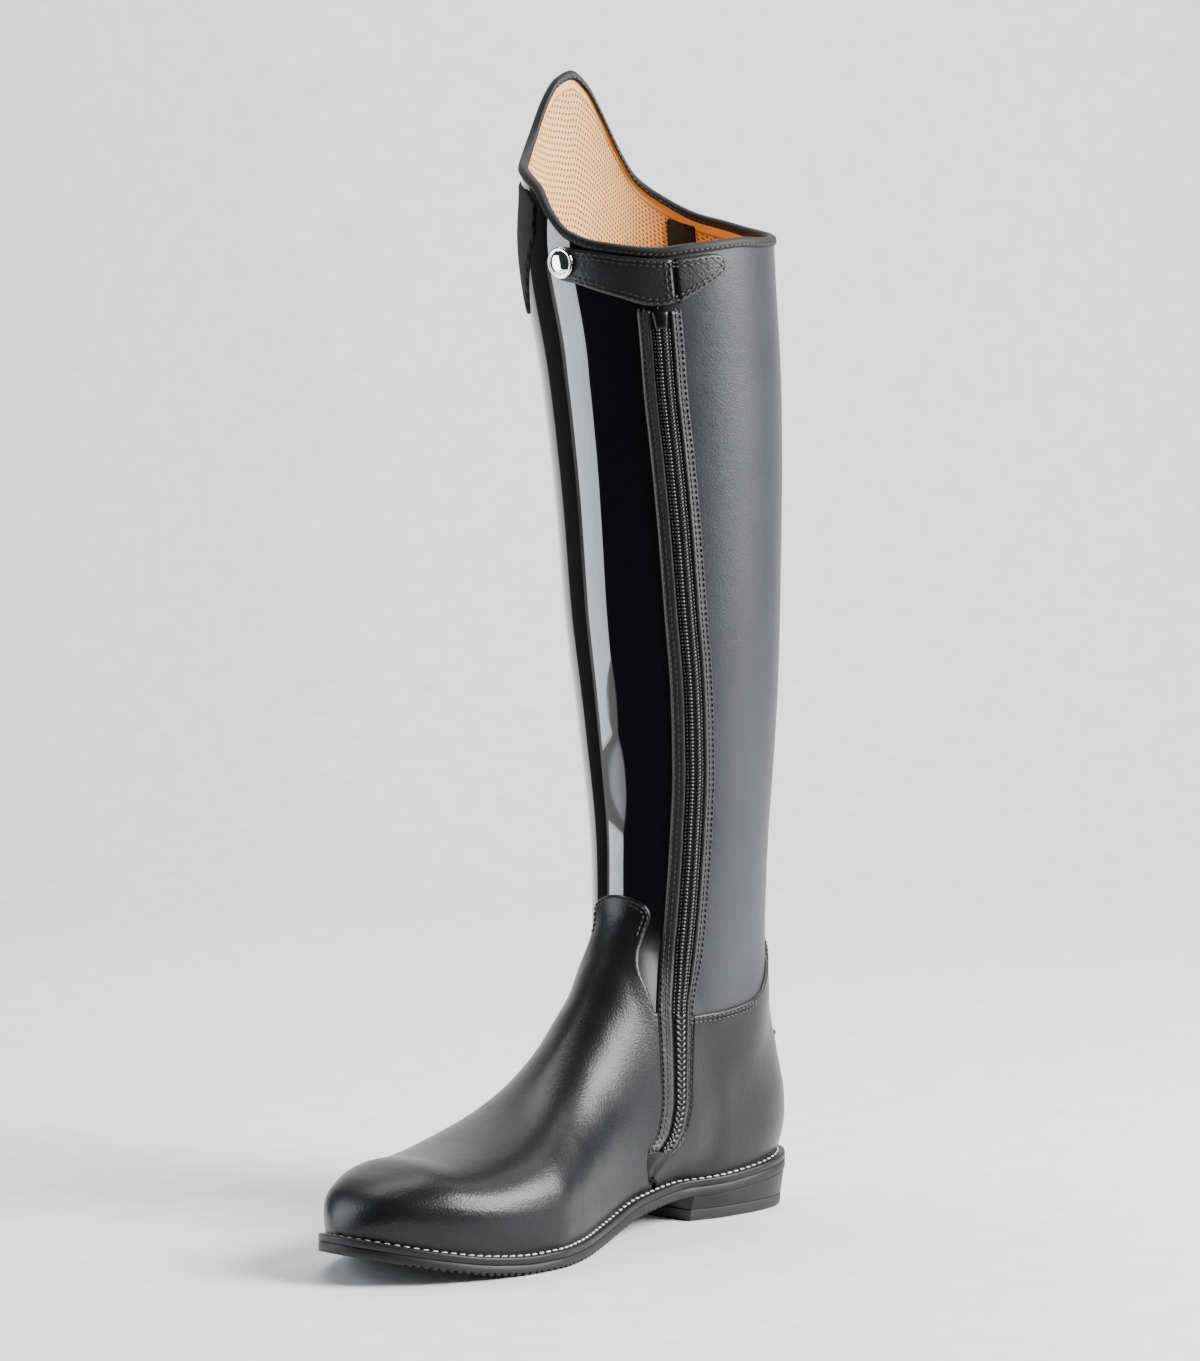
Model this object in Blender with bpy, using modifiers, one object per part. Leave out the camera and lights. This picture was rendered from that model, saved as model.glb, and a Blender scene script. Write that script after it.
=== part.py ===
"""Right-hand dress riding boot, modelled at real size in metres.

+Z is up, the toe points to -Y and the inner side of the foot faces +X.
The origin lies on the ground under the middle of the sole.
One implicit last (foot joined to leg) gives the shape of every leather piece.
"""
import math

import bpy
import bmesh
import numpy as np
from mathutils import Vector
from mathutils.bvhtree import BVHTree

# Driving sizes of the sole
SOLE_LENGTH = 0.295
BALL_WIDTH = 0.1045
HEEL_LENGTH = 0.080
HEEL_PITCH = 0.0192
WAIST_HEIGHT = 0.0121
TOE_SPRING = 0.0130
OUTSOLE_THICKNESS = 0.0048
WELT_THICKNESS = 0.0033
WELT_MARGIN = 0.0036
WELT_DEPTH = 0.0125
LIFT_THICKNESS = 0.0055
SOLE_STEP = 0.0006
HEEL_TAPER = 0.0026
RIB_PITCH = 0.0076
RIB_GROOVE = 0.0030
RIB_DEPTH = 0.0009
INSOLE_THICKNESS = 0.0028

# Driving sizes of the upper
INSTEP_RISE = 0.100
SHAFT_HEIGHT = 0.470
FOOT_SHARE = 0.30
FOOT_TOP_RISE = 1.41
CALF_WIDTH = 0.1186
WALL = 0.0021
OVERLAY = 0.0013
CLEARANCE = 0.0003
FIT_CLEARANCE = 0.0011
STRIP_CLEARANCE = 0.0006
INSOLE_CLEARANCE = 0.0012

# Sizes of the trim
ZIP_GAP = 0.0092
ZIP_COIL_WIDTH = 0.0062
ZIP_COIL_HEIGHT = 0.0013
ZIP_TAPE = 0.0006
ZIP_FACING = 0.0058
FACING_SKIVE = 0.0009
SLIDER_WIDTH = 0.0076
SLIDER_LENGTH = 0.0085
SLIDER_HEIGHT = 0.0016
STRAP_THICKNESS = 0.0019
ELASTIC_THICKNESS = 0.0010
SNAP_DIAMETER = 0.0145
SNAP_HEIGHT = 0.0030
BINDING_THICKNESS = 0.0009
BINDING_DEPTH = 0.0030
SPUR_WIDTH = 0.038
SPUR_HEIGHT = 0.0052
SPUR_DEPTH = 0.0034
SPUR_LEVEL = 0.176

# Resolution of the leather grid
COLUMNS = 40
RAYS = 144
SOLE_STATIONS = 32
ZIP_STATIONS = (13, 12)

HALF = SOLE_LENGTH / 2
EDGE_THICKNESS = OUTSOLE_THICKNESS + WELT_THICKNESS
BREAST = HALF - HEEL_LENGTH
UPPER_INSET = WELT_MARGIN + OVERLAY + CLEARANCE

# Half widths of the sole from heel to toe: share of the length, inner and outer share of the ball width
OUTLINE = (
    (0.00, 0.322, 0.322),
    (0.12, 0.322, 0.322),
    (0.20, 0.306, 0.318),
    (0.30, 0.238, 0.300),
    (0.40, 0.262, 0.326),
    (0.47, 0.305, 0.366),
    (0.55, 0.380, 0.412),
    (0.63, 0.460, 0.462),
    (0.70, 0.502, 0.495),
    (0.80, 0.500, 0.505),
    (1.00, 0.478, 0.490),
)
TOE_ROUND = {1: (0.70, 2.1), -1: (0.64, 1.9)}
HEEL_ROUND = (0.13, 2.4)

# Underside of the sole: share of the length, share of the heel pitch, of the waist height, of the toe spring
UNDERSIDE = (
    (0.00, 1.0, 0.00, 0.00),
    (0.27, 0.0, 1.00, 0.00),
    (0.41, 0.0, 0.72, 0.00),
    (0.51, 0.0, 0.30, 0.00),
    (0.60, 0.0, 0.06, 0.00),
    (0.66, 0.0, 0.00, 0.00),
    (0.74, 0.0, 0.00, 0.00),
    (0.82, 0.0, 0.00, 0.14),
    (0.90, 0.0, 0.00, 0.45),
    (1.00, 0.0, 0.00, 1.00),
)

# Sections of the foot: share of the length, rise and belly as shares of the instep rise,
# inner and outer flare as shares of the ball width, roundness, inward ridge shift as share of the ball width
FOOT = (
    (0.000, 1.050, 0.200, 0.031, 0.031, 2.80, 0.000),
    (0.120, 1.050, 0.200, 0.031, 0.031, 2.80, 0.000),
    (0.220, 1.100, 0.210, 0.043, 0.033, 2.70, 0.000),
    (0.300, 1.170, 0.220, 0.105, 0.048, 2.50, 0.000),
    (0.360, 1.180, 0.220, 0.091, 0.043, 2.20, 0.010),
    (0.400, 1.096, 0.210, 0.072, 0.033, 2.00, 0.019),
    (0.450, 0.936, 0.190, 0.053, 0.024, 1.90, 0.029),
    (0.500, 0.806, 0.170, 0.038, 0.019, 1.85, 0.038),
    (0.568, 0.666, 0.150, 0.024, 0.019, 1.90, 0.043),
    (0.636, 0.561, 0.140, 0.019, 0.019, 2.00, 0.043),
    (0.700, 0.486, 0.130, 0.019, 0.019, 2.10, 0.038),
    (0.770, 0.426, 0.125, 0.017, 0.017, 2.20, 0.029),
    (0.840, 0.378, 0.120, 0.015, 0.015, 2.25, 0.019),
    (0.880, 0.362, 0.115, 0.014, 0.014, 2.30, 0.010),
    (0.930, 0.325, 0.110, 0.014, 0.014, 2.40, 0.000),
    (1.000, 0.285, 0.100, 0.014, 0.014, 2.40, 0.000),
)
TOE_CAP = (0.86, 2.3)

# Back line: share of the shaft height, share of the sole length
BACK_LINE = (
    (0.040, 0.4795),
    (0.057, 0.4835),
    (0.077, 0.4900),
    (0.100, 0.4925),
    (0.119, 0.4905),
    (0.145, 0.4790),
    (0.168, 0.4690),
    (0.189, 0.4610),
    (0.223, 0.4535),
    (0.262, 0.4500),
    (0.296, 0.4490),
    (0.332, 0.4495),
    (0.396, 0.4505),
    (0.460, 0.4560),
    (0.545, 0.4600),
    (0.638, 0.4580),
    (0.728, 0.4570),
    (0.813, 0.4517),
    (0.874, 0.4440),
    (0.938, 0.4310),
    (1.002, 0.4195),
    (1.064, 0.4065),
    (1.200, 0.3780),
)

# Sections of the leg: share of the shaft height, front line as share of the sole length,
# half width as share of the calf width, roundness
LEG = (
    (0.064, 0.254, 0.170, 2.10),
    (0.128, 0.210, 0.254, 2.10),
    (0.170, 0.176, 0.284, 2.10),
    (0.213, 0.149, 0.300, 2.10),
    (0.266, 0.139, 0.312, 2.10),
    (0.319, 0.139, 0.325, 2.05),
    (0.372, 0.139, 0.341, 2.00),
    (0.494, 0.120, 0.386, 2.00),
    (0.609, 0.095, 0.425, 2.00),
    (0.736, 0.075, 0.451, 2.00),
    (0.851, 0.048, 0.475, 2.00),
    (0.996, 0.002, 0.500, 2.00),
    (1.045, 0.005, 0.491, 2.00),
    (1.100, 0.001, 0.488, 2.00),
    (1.200, -0.012, 0.488, 2.00),
)
LEG_FLOOR = 0.064
ANKLE = 0.266

# Rim of the collar: turn round the shaft from the back through the inner side, share of the shaft height
RIM = (
    (0.000, 1.020),
    (0.045, 1.010),
    (0.136, 0.996),
    (0.206, 0.988),
    (0.256, 0.985),
    (0.297, 0.980),
    (0.339, 0.975),
    (0.378, 0.971),
    (0.450, 0.978),
    (0.490, 0.990),
    (0.522, 1.014),
    (0.550, 1.040),
    (0.600, 1.060),
    (0.655, 1.078),
    (0.690, 1.103),
    (0.714, 1.130),
    (0.730, 1.149),
    (0.748, 1.165),
    (0.774, 1.174),
    (0.797, 1.163),
    (0.819, 1.139),
    (0.849, 1.098),
    (0.873, 1.070),
    (0.910, 1.049),
    (0.957, 1.030),
    (1.000, 1.020),
)

# Rings of the leather grid: shares of the instep rise, the length and the shaft height
TOE_RINGS = (0.0, 0.055, 0.120, 0.185)
CREST_RINGS = (0.940, 0.905, 0.865, 0.820, 0.775, 0.730, 0.680, 0.630, 0.580, 0.535, 0.495, 0.460, 0.425, 0.390)
CREST_HEEL_LIFT = (0.24, 1.02)
SHAFT_RINGS = (0.302, 0.330, 0.362, 0.405, 0.465, 0.535, 0.606, 0.681, 0.755, 0.830)
RIM_RINGS = (0.25, 0.50, 0.75, 1.0)

# Course of the zip: share of the shaft height, bearing from the front towards the inner side in degrees
ZIP_COURSE = (
    (0.055, 26.0),
    (0.068, 28.0),
    (0.080, 31.0),
    (0.100, 36.0),
    (0.132, 38.4),
    (0.174, 38.4),
    (0.217, 38.3),
    (0.249, 40.1),
    (0.304, 43.8),
    (0.383, 47.1),
    (0.466, 49.0),
    (0.549, 48.5),
    (0.610, 47.1),
    (0.685, 45.2),
    (0.764, 43.0),
    (0.845, 41.4),
    (0.909, 42.1),
    (1.000, 43.5),
)
ZIP_TOP = 0.913
ZIP_BEND = 0.275
ZIP_FOOT = 0.083
ZIP_PATCH_FOOT = 0.058
ZIP_SOLE_LEVELS = (0.030, 0.055)

# Top edge of the vamp seen from the side: share of the sole length, share of the shaft height
VAMP_EDGE = (
    (0.128, 0.2190),
    (0.126, 0.2320),
    (0.124, 0.243),
    (0.121, 0.254),
    (0.122, 0.265),
    (0.130, 0.279),
    (0.142, 0.292),
    (0.152, 0.306),
    (0.1535, 0.315),
    (0.150, 0.323),
    (0.144, 0.329),
    (0.137, 0.334),
)
# Top edge of the counter seen from the side, rising to the dog tail
COUNTER_EDGE = (
    (0.180, 0.2115),
    (0.264, 0.2150),
    (0.313, 0.2195),
    (0.351, 0.2262),
    (0.375, 0.2379),
    (0.396, 0.2530),
    (0.418, 0.2720),
    (0.440, 0.2880),
    (0.470, 0.2960),
)
SIDE_SEAM = 0.170

# Strap and tab: bearing from the front towards the inner side in degrees, lower and upper share of the height
STRAP_EDGE = (
    (-6.0, 0.955, 0.967),
    (-4.5, 0.948, 0.974),
    (-1.0, 0.944, 0.9765),
    (6.0, 0.940, 0.975),
    (16.0, 0.932, 0.9715),
    (27.0, 0.924, 0.9665),
    (36.0, 0.9175, 0.9640),
    (43.0, 0.9165, 0.9630),
    (50.0, 0.9200, 0.9630),
)
TAB_EDGE = (
    (51.2, 0.9195, 0.9630),
    (60.0, 0.930, 0.9660),
    (68.0, 0.940, 0.9690),
    (73.0, 0.9475, 0.9690),
    (75.6, 0.9530, 0.9650),
)
SNAP_BEARING = 1.0
SNAP_LEVEL = 0.9615

# Domed face of the snap: share of its radius, share of its height
SNAP_DOME = (
    (0.00, 1.00),
    (0.35, 0.97),
    (0.65, 0.90),
    (0.88, 0.76),
    (0.98, 0.60),
)

# Elastic pieces: bearing in degrees, lower and upper share of the height
FRONT_GUSSET_EDGE = (
    (-74.0, 1.050, 1.069),
    (-66.0, 1.018, 1.062),
    (-56.0, 0.976, 1.055),
    (-46.0, 0.933, 1.048),
    (-41.0, 0.917, 1.046),
    (-36.0, 0.930, 1.042),
    (-28.0, 0.958, 1.038),
    (-18.0, 0.992, 1.022),
)
REAR_GUSSET_EDGE = (
    (-164.0, 0.870, 1.018),
    (-158.0, 0.870, 1.022),
    (-150.0, 0.870, 1.028),
)


def shaft_level(share):
    """Height at a share of the shaft height, where the lowest part follows the instep."""
    share = np.asarray(share, float)
    foot_top = FOOT_TOP_RISE * INSTEP_RISE
    above = foot_top + (share - FOOT_SHARE) / (1 - FOOT_SHARE) * (SHAFT_HEIGHT - foot_top)
    return np.where(share < FOOT_SHARE, share / FOOT_SHARE * foot_top, above)


def smooth(rows, column, scale=1.0, place_at=np.asarray):
    """Return a smooth function through one column of a table, without overshoot."""
    places = place_at([row[0] for row in rows])
    values = np.array([row[column] for row in rows]) * scale
    steps = np.diff(places)
    slopes = np.diff(values) / steps
    tangents = np.empty_like(values)
    tangents[0], tangents[-1] = slopes[0], slopes[-1]
    before, after = slopes[:-1], slopes[1:]
    total = np.where(before + after == 0, 1.0, before + after)
    tangents[1:-1] = np.where(before * after > 0, 2 * before * after / total, 0.0)

    def value(place):
        place = np.clip(place, places[0], places[-1])
        index = np.clip(np.searchsorted(places, place, side="right") - 1, 0, len(steps) - 1)
        t = (place - places[index]) / steps[index]
        rest = 1 - t
        ends = values[index] * (1 + 2 * t) * rest ** 2 + values[index + 1] * t * t * (3 - 2 * t)
        return ends + steps[index] * t * rest * (tangents[index] * rest - tangents[index + 1] * t)

    return value


INNER_WIDTH = smooth(OUTLINE, 1, BALL_WIDTH)
OUTER_WIDTH = smooth(OUTLINE, 2, BALL_WIDTH)
FOOT_RISE = smooth(FOOT, 1, INSTEP_RISE)
FOOT_BELLY = smooth(FOOT, 2, INSTEP_RISE)
INNER_FLARE = smooth(FOOT, 3, BALL_WIDTH)
OUTER_FLARE = smooth(FOOT, 4, BALL_WIDTH)
FOOT_ROUND = smooth(FOOT, 5)
FOOT_RIDGE = smooth(FOOT, 6, BALL_WIDTH)
BACK_AT = smooth(BACK_LINE, 1, SOLE_LENGTH, shaft_level)
FRONT_AT = smooth(LEG, 1, SOLE_LENGTH, shaft_level)
LEG_WIDTH = smooth(LEG, 2, CALF_WIDTH, shaft_level)
LEG_ROUND = smooth(LEG, 3, 1.0, shaft_level)
RIM_SHARE = smooth(RIM, 1)
ZIP_BEARING = smooth(ZIP_COURSE, 1, math.radians(1), shaft_level)
PITCH_PART = smooth(UNDERSIDE, 1, HEEL_PITCH)
WAIST_PART = smooth(UNDERSIDE, 2, WAIST_HEIGHT)
SPRING_PART = smooth(UNDERSIDE, 3, TOE_SPRING)


def cap(share, power):
    """Quarter of a superellipse: 1 at share 0, falling steeply to 0 at share 1."""
    share = np.clip(share, 0, 1)
    return (1 - share ** power) ** (1 / power)


def along(y, inset=0.0):
    """Share of the length from the heel at y, on the outline drawn in by inset."""
    return (HALF - inset - y) / (SOLE_LENGTH - 2 * inset)


def half_width(share, side, inset=0.0):
    """Half width of the sole outline on the inner (1) or outer (-1) side."""
    body = (INNER_WIDTH if side > 0 else OUTER_WIDTH)(share) - inset
    start, power = TOE_ROUND[side]
    heel_end, heel_power = HEEL_ROUND
    toe = cap((share - start) / (1 - start), power)
    return body * toe * cap((heel_end - share) / heel_end, heel_power)


def underside(y):
    """Height of the outsole's underside."""
    share = along(y)
    return PITCH_PART(share) + WAIST_PART(share) + SPRING_PART(share)


def feather(y):
    """Height of the line where the upper meets the welt."""
    return underside(y) + EDGE_THICKNESS


def radial(size, reach):
    """Turn a size relative to a section into the distance along the line from the section's middle."""
    return (size - 1) * np.maximum(reach, 1e-3) / np.maximum(size, 1e-3)


def foot_field(x, y, z):
    """Distance outside the foot, below 0 inside, from upright sections along the sole."""
    turn = 0.136 * SOLE_LENGTH
    rear = HALF - UPPER_INSET
    back = BACK_AT(z)
    place = np.where(y > turn, turn + (y - turn) * (rear - turn) / (back - turn), y)
    share = along(place, UPPER_INSET)
    inside = np.clip(share, 0, 1)
    start, power = TOE_CAP
    rise = FOOT_RISE(inside) * np.maximum(cap((inside - start) / (1 - start), power), 1e-3)
    belly = np.minimum(FOOT_BELLY(inside), rise * 0.45)
    level = z - feather(y)
    up = np.maximum((level - belly) / (rise - belly), 0)
    shifted = x - FOOT_RIDGE(inside) * up
    widen = np.sin(math.pi / 2 * np.clip(level / belly, 0, 1))
    widths = []
    for side, flare in ((1, INNER_FLARE), (-1, OUTER_FLARE)):
        base = np.maximum(half_width(inside, side, UPPER_INSET), 1e-5)
        widths.append(base + flare(inside) * np.clip(base / 0.02, 0, 1) * widen)
    width = np.where(shifted >= 0, widths[0], widths[1])
    power = FOOT_ROUND(inside)
    size = (np.minimum(np.abs(shifted) / width, 40) ** power + up ** power) ** (1 / power)
    size = np.where(share == inside, size, np.maximum(size, 1) + 10 * np.abs(share - inside))
    return radial(size, np.hypot(shifted, up * (rise - belly)))


def leg_axis(z):
    """Middle of the leg from front to back."""
    z = np.maximum(z, shaft_level(ANKLE))
    return (FRONT_AT(z) + BACK_AT(z)) / 2


def leg_field(x, y, z):
    """Distance outside the leg, below 0 inside, from level ovals."""
    back, front = BACK_AT(z), FRONT_AT(z)
    power = LEG_ROUND(z)
    deep = y - (back + front) / 2
    size = ((np.abs(x) / LEG_WIDTH(z)) ** power + (np.abs(deep) * 2 / (back - front)) ** power) ** (1 / power)
    floor = np.maximum(0, shaft_level(LEG_FLOOR) - z) / 0.02
    return radial(size + floor, np.hypot(x, deep))


def last_field(x, y, z):
    """Foot and leg joined with a soft blend, softest at the instep."""
    foot = foot_field(x, y, z)
    leg = leg_field(x, y, z)
    blend = 0.068 * SOLE_LENGTH * np.clip((0.34 * SOLE_LENGTH - y) / (0.2 * SOLE_LENGTH), 0.15, 1)
    overlap = np.maximum(blend - np.abs(foot - leg), 0) / blend
    return np.minimum(foot, leg) - overlap ** 2 * blend / 4


def normals(points):
    """Outward unit normals of the last at an array of points."""
    step = 4e-4
    axes = []
    for axis in range(3):
        shift = np.zeros(3)
        shift[axis] = step
        high, low = points + shift, points - shift
        axes.append(last_field(*np.moveaxis(high, -1, 0)) - last_field(*np.moveaxis(low, -1, 0)))
    slope = np.stack(axes, -1)
    return slope / np.linalg.norm(slope, axis=-1, keepdims=True)


def cast(centre_y, bearing, height_at):
    """Points where rays from a centre line meet the last; bearing runs from the front to the inner side."""
    sine, cosine = np.sin(bearing), -np.cos(bearing)
    low, high = np.zeros_like(bearing), np.full_like(bearing, 0.9 * SOLE_LENGTH)
    for _ in range(22):
        middle = (low + high) / 2
        x, y = middle * sine, centre_y + middle * cosine
        inside = last_field(x, y, height_at(x, y)) < 0
        low, high = np.where(inside, middle, low), np.where(inside, high, middle)
    x, y = low * sine, centre_y + low * cosine
    return np.stack([x, y, height_at(x, y)], -1)


def on_leg(bearing, z):
    """Points on the leg at a bearing and a height."""
    bearing, z = np.broadcast_arrays(np.asarray(bearing, float), np.asarray(z, float))
    return cast(leg_axis(z), bearing.copy(), lambda x, y: z)


def spaced(points, count):
    """Spread points evenly along an open line, closer together where it turns."""
    steps = np.diff(points, axis=0)
    lengths = np.linalg.norm(steps, axis=1)
    headings = steps / lengths[:, None]
    turns = np.arccos(np.clip((headings[1:] * headings[:-1]).sum(1), -1, 1))
    bend = np.zeros(len(lengths))
    bend[1:] += turns / 2
    bend[:-1] += turns / 2
    weights = lengths + 0.035 * np.convolve(bend, np.ones(5) / 5, mode="same")
    run = np.concatenate([[0], np.cumsum(weights)])
    marks = np.linspace(0, run[-1], count)
    return np.stack([np.interp(marks, run, points[:, axis]) for axis in range(3)], -1)


def ring_heights():
    """Yield the centre of each ring of the leather grid and the function that gives its height."""
    def tilted(heel, toe):
        return lambda x, y: feather(y) + heel + (toe - heel) * along(y, UPPER_INSET)

    for lift in TOE_RINGS:
        yield 0.05 * SOLE_LENGTH, tilted(lift * INSTEP_RISE, lift * INSTEP_RISE)
    start, power = TOE_CAP
    heels = np.linspace(*CREST_HEEL_LIFT, len(CREST_RINGS)) * INSTEP_RISE
    for front, heel in zip(CREST_RINGS, heels):
        top = float(FOOT_RISE(front) * cap((front - start) / (1 - start), power))
        yield HALF - front * SOLE_LENGTH * 0.5 - 0.02 * SOLE_LENGTH, tilted(heel, heel + (top - heel) / front)
    for level in SHAFT_RINGS:
        z = float(shaft_level(level))
        yield float(leg_axis(z)), lambda x, y, z=z: np.full_like(y, z)
    base = float(shaft_level(SHAFT_RINGS[-1]))
    centre = float(leg_axis(np.array(SHAFT_HEIGHT)))
    for share in RIM_RINGS:
        def height(x, y, share=share):
            turn = (0.5 - np.arctan2(x, centre - y) / (2 * math.pi)) % 1
            return base + (shaft_level(RIM_SHARE(turn)) - base) * share
        yield centre, height


def leather_grid():
    """Rings of points on the last, each from the back through the inner side to the front and round."""
    bearings = math.pi - np.arange(RAYS) * 2 * math.pi / RAYS
    rings = []
    for centre, height in ring_heights():
        ring = cast(centre, bearings, height)
        inner = spaced(ring[:RAYS // 2 + 1], COLUMNS // 2 + 1)
        outer = spaced(np.vstack([ring[RAYS // 2:], ring[:1]]), COLUMNS // 2 + 1)
        rings.append(np.vstack([inner[:-1], outer[:-1]]))
    return np.array(rings)


def finish_material(name, colour, roughness, metallic=0.0):
    """A Principled material."""
    material = bpy.data.materials.new(name)
    material.use_nodes = True
    shader = material.node_tree.nodes["Principled BSDF"]
    shader.inputs["Base Color"].default_value = (*colour, 1.0)
    shader.inputs["Roughness"].default_value = roughness
    shader.inputs["Metallic"].default_value = metallic
    return material


def solid(name, verts, faces, collection, material=None):
    """Make a mesh object of triangles whose faces point outwards."""
    mesh = bpy.data.meshes.new(name)
    mesh.from_pydata([tuple(map(float, vert)) for vert in verts], [], faces)
    bm = bmesh.new()
    bm.from_mesh(mesh)
    bmesh.ops.triangulate(bm, faces=bm.faces, quad_method="FIXED")
    bmesh.ops.recalc_face_normals(bm, faces=bm.faces)
    bm.to_mesh(mesh)
    bm.free()
    obj = bpy.data.objects.new(name, mesh)
    collection.objects.link(obj)
    if material:
        mesh.materials.append(material)
    return obj


def loft(name, sections, collection, material, closed=False):
    """Join closed sections with the same number of points; the ends are capped unless the loft is a loop."""
    sections = np.asarray(sections)
    count, size = sections.shape[:2]
    faces = []
    for i in range(count if closed else count - 1):
        first, second = i * size, (i + 1) % count * size
        for j in range(size):
            k = (j + 1) % size
            faces.append((first + j, first + k, second + k, second + j))
    if not closed:
        faces.append(tuple(range(size)))
        faces.append(tuple(reversed(range((count - 1) * size, count * size))))
    return solid(name, sections.reshape(-1, 3), faces, collection, material)


def layer(grid, outward, distance):
    """Points at a distance from the last, kept just above the welt."""
    points = grid + outward * distance
    points[..., 2] = np.maximum(points[..., 2], feather(points[..., 1]) + CLEARANCE)
    return points


def skin(name, grid, outward, low, high, collection, material=None):
    """Closed shell on rings of the leather grid, between two distances from the last."""
    inner, outer = layer(grid, outward, low), layer(grid, outward, high)
    sections = [np.vstack([outer[:, j], inner[::-1, j]]) for j in range(grid.shape[1])]
    return loft(name, sections, collection, material, closed=True)


def cut(obj, cutters, operation="INTERSECT"):
    """Add one exact Boolean for each cutter."""
    for cutter in cutters:
        modifier = obj.modifiers.new(operation.title(), "BOOLEAN")
        modifier.operation = operation
        modifier.solver = "EXACT"
        modifier.object = cutter


def plate(name, places, top, bottom, inset_top, inset_bottom, collection, material):
    """Plate from cross sections at the given places along y."""
    sections = []
    for index, y in enumerate(places):
        corners = []
        for inset, height in ((inset_top, top), (inset_bottom, bottom)):
            reach = HALF - inset
            place = float(np.clip(y, -reach + 2e-4, reach - 2e-4))
            inner, outer = (half_width(along(place, inset), side, inset) for side in (1, -1))
            corners.append([(inner, place, height[index]), (-outer, place, height[index])])
        sections.append([corners[0][0], corners[0][1], corners[1][1], corners[1][0]])
    return loft(name, sections, collection, material)


def cosine_places(low, high, count):
    """Places along y, closer together at both ends."""
    return low + (high - low) * (1 - np.cos(np.linspace(0, math.pi, count))) / 2


def make_outsole(parts, rubber):
    """Full-length rubber sole with tread ribs under the forefoot."""
    reach = HALF - SOLE_STEP - 2e-4
    tread_front = HALF - 0.93 * SOLE_LENGTH
    tread_back = HALF - 0.56 * SOLE_LENGTH
    places = [y for y in cosine_places(-reach, reach, SOLE_STATIONS) if not tread_front < y < tread_back]
    grooves = int((tread_back - tread_front) / RIB_PITCH)
    depth = dict.fromkeys(places, 0.0)
    for k in range(grooves):
        start = tread_front + (k + 0.5) * RIB_PITCH
        for shift, groove in ((0, 0.0), (1e-4, RIB_DEPTH), (RIB_GROOVE, RIB_DEPTH), (RIB_GROOVE + 1e-4, 0.0)):
            depth[start + shift] = groove
    places = np.array(sorted(depth))
    bottom = underside(places) + np.array([depth[y] for y in places])
    top = underside(places) + OUTSOLE_THICKNESS - CLEARANCE
    return plate("outsole", places, top, bottom, SOLE_STEP, SOLE_STEP, parts, rubber)


def make_heel(parts, rubber, lift_rubber):
    """Heel block with its breast, and the flat top piece under it."""
    places = cosine_places(BREAST, HALF - SOLE_STEP - 2e-4, 16)
    flat = np.ones_like(places)
    joint = LIFT_THICKNESS * flat
    lift_inset = SOLE_STEP + HEEL_TAPER * (1 - LIFT_THICKNESS / HEEL_PITCH)
    plate("heel_block", places, underside(places) - CLEARANCE, joint + CLEARANCE, SOLE_STEP, lift_inset,
          parts, rubber)
    plate("heel_lift", places, joint, 0 * flat, lift_inset, SOLE_STEP + HEEL_TAPER, parts, lift_rubber)


def make_welt(parts, leather):
    """Strip that runs all round between the outsole and the upper."""
    count = 60
    turns = np.linspace(0, 2 * math.pi, count, endpoint=False)
    sections = []
    for turn in turns:
        side = 1 if math.sin(turn) >= 0 else -1
        corners = []
        for inset, lift in ((0.0003, 1.0), (0.0, 0.75), (0.0, 0.0), (WELT_DEPTH, 0.0), (WELT_DEPTH, 1.0)):
            share = (1 - math.cos(turn)) / 2
            y = HALF - inset - share * (SOLE_LENGTH - 2 * inset)
            x = side * float(half_width(share, side, inset))
            z = float(underside(np.array(y))) + OUTSOLE_THICKNESS + lift * WELT_THICKNESS
            corners.append((x, y, z))
        sections.append(corners)
    return loft("welt", sections, parts, leather, closed=True)


def make_insole(parts, board):
    """Board inside the foot, resting on the welt."""
    inset = UPPER_INSET + WALL + INSOLE_CLEARANCE
    places = cosine_places(-HALF + inset + 3e-4, HALF - inset - 3e-4, 26)
    bottom = feather(places) + CLEARANCE
    return plate("insole", places, bottom + INSOLE_THICKNESS, bottom, inset, inset, parts, board)


def make_upper(grid, outward, parts, leather):
    """Hollow leather wall, open at the collar and underneath."""
    shaft = len(TOE_RINGS) + len(CREST_RINGS)
    inner_rows = [i for i in range(len(grid)) if i < shaft + 3 or (i - shaft) % 2 == 0 or i == len(grid) - 1]
    inner, outer = layer(grid, outward, -WALL)[inner_rows], layer(grid, outward, 0)
    sections = [np.vstack([inner[:, j], outer[::-1, j]]) for j in range(COLUMNS)]
    return loft("upper", sections, parts, leather, closed=True)


def beside_zip(offsets, levels):
    """Points at distances round the leg from the zip's middle, a row for each height."""
    bearings = ZIP_BEARING(levels)[:, None]
    turn = math.radians(4)
    ahead, behind = on_leg(bearings + turn, levels[:, None]), on_leg(bearings - turn, levels[:, None])
    speed = np.linalg.norm(ahead - behind, axis=-1) / (2 * turn)
    return on_leg(bearings + offsets / speed, levels[:, None])


def zip_levels(top=None):
    """Heights along the zip up to a top height, closer together where it bends."""
    foot, shaft = ZIP_STATIONS
    start, bend, end = shaft_level([ZIP_FOOT, ZIP_BEND, ZIP_TOP])
    return np.concatenate([np.linspace(start, bend, foot), np.linspace(bend, top or end, shaft)[1:]])


def zip_edge(offset, top):
    """Side-view points beside the zip at a distance from its middle, from the welt up to a height."""
    levels = zip_levels()
    heights = np.concatenate([shaft_level(ZIP_SOLE_LEVELS), levels[levels < top]])
    return [(float(y), float(z)) for _, y, z in beside_zip(np.array([[offset]]), heights)[:, 0]]


def scaled(rows):
    """Side-view table rows in metres."""
    return [(y * SOLE_LENGTH, float(shaft_level(z))) for y, z in rows]


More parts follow.
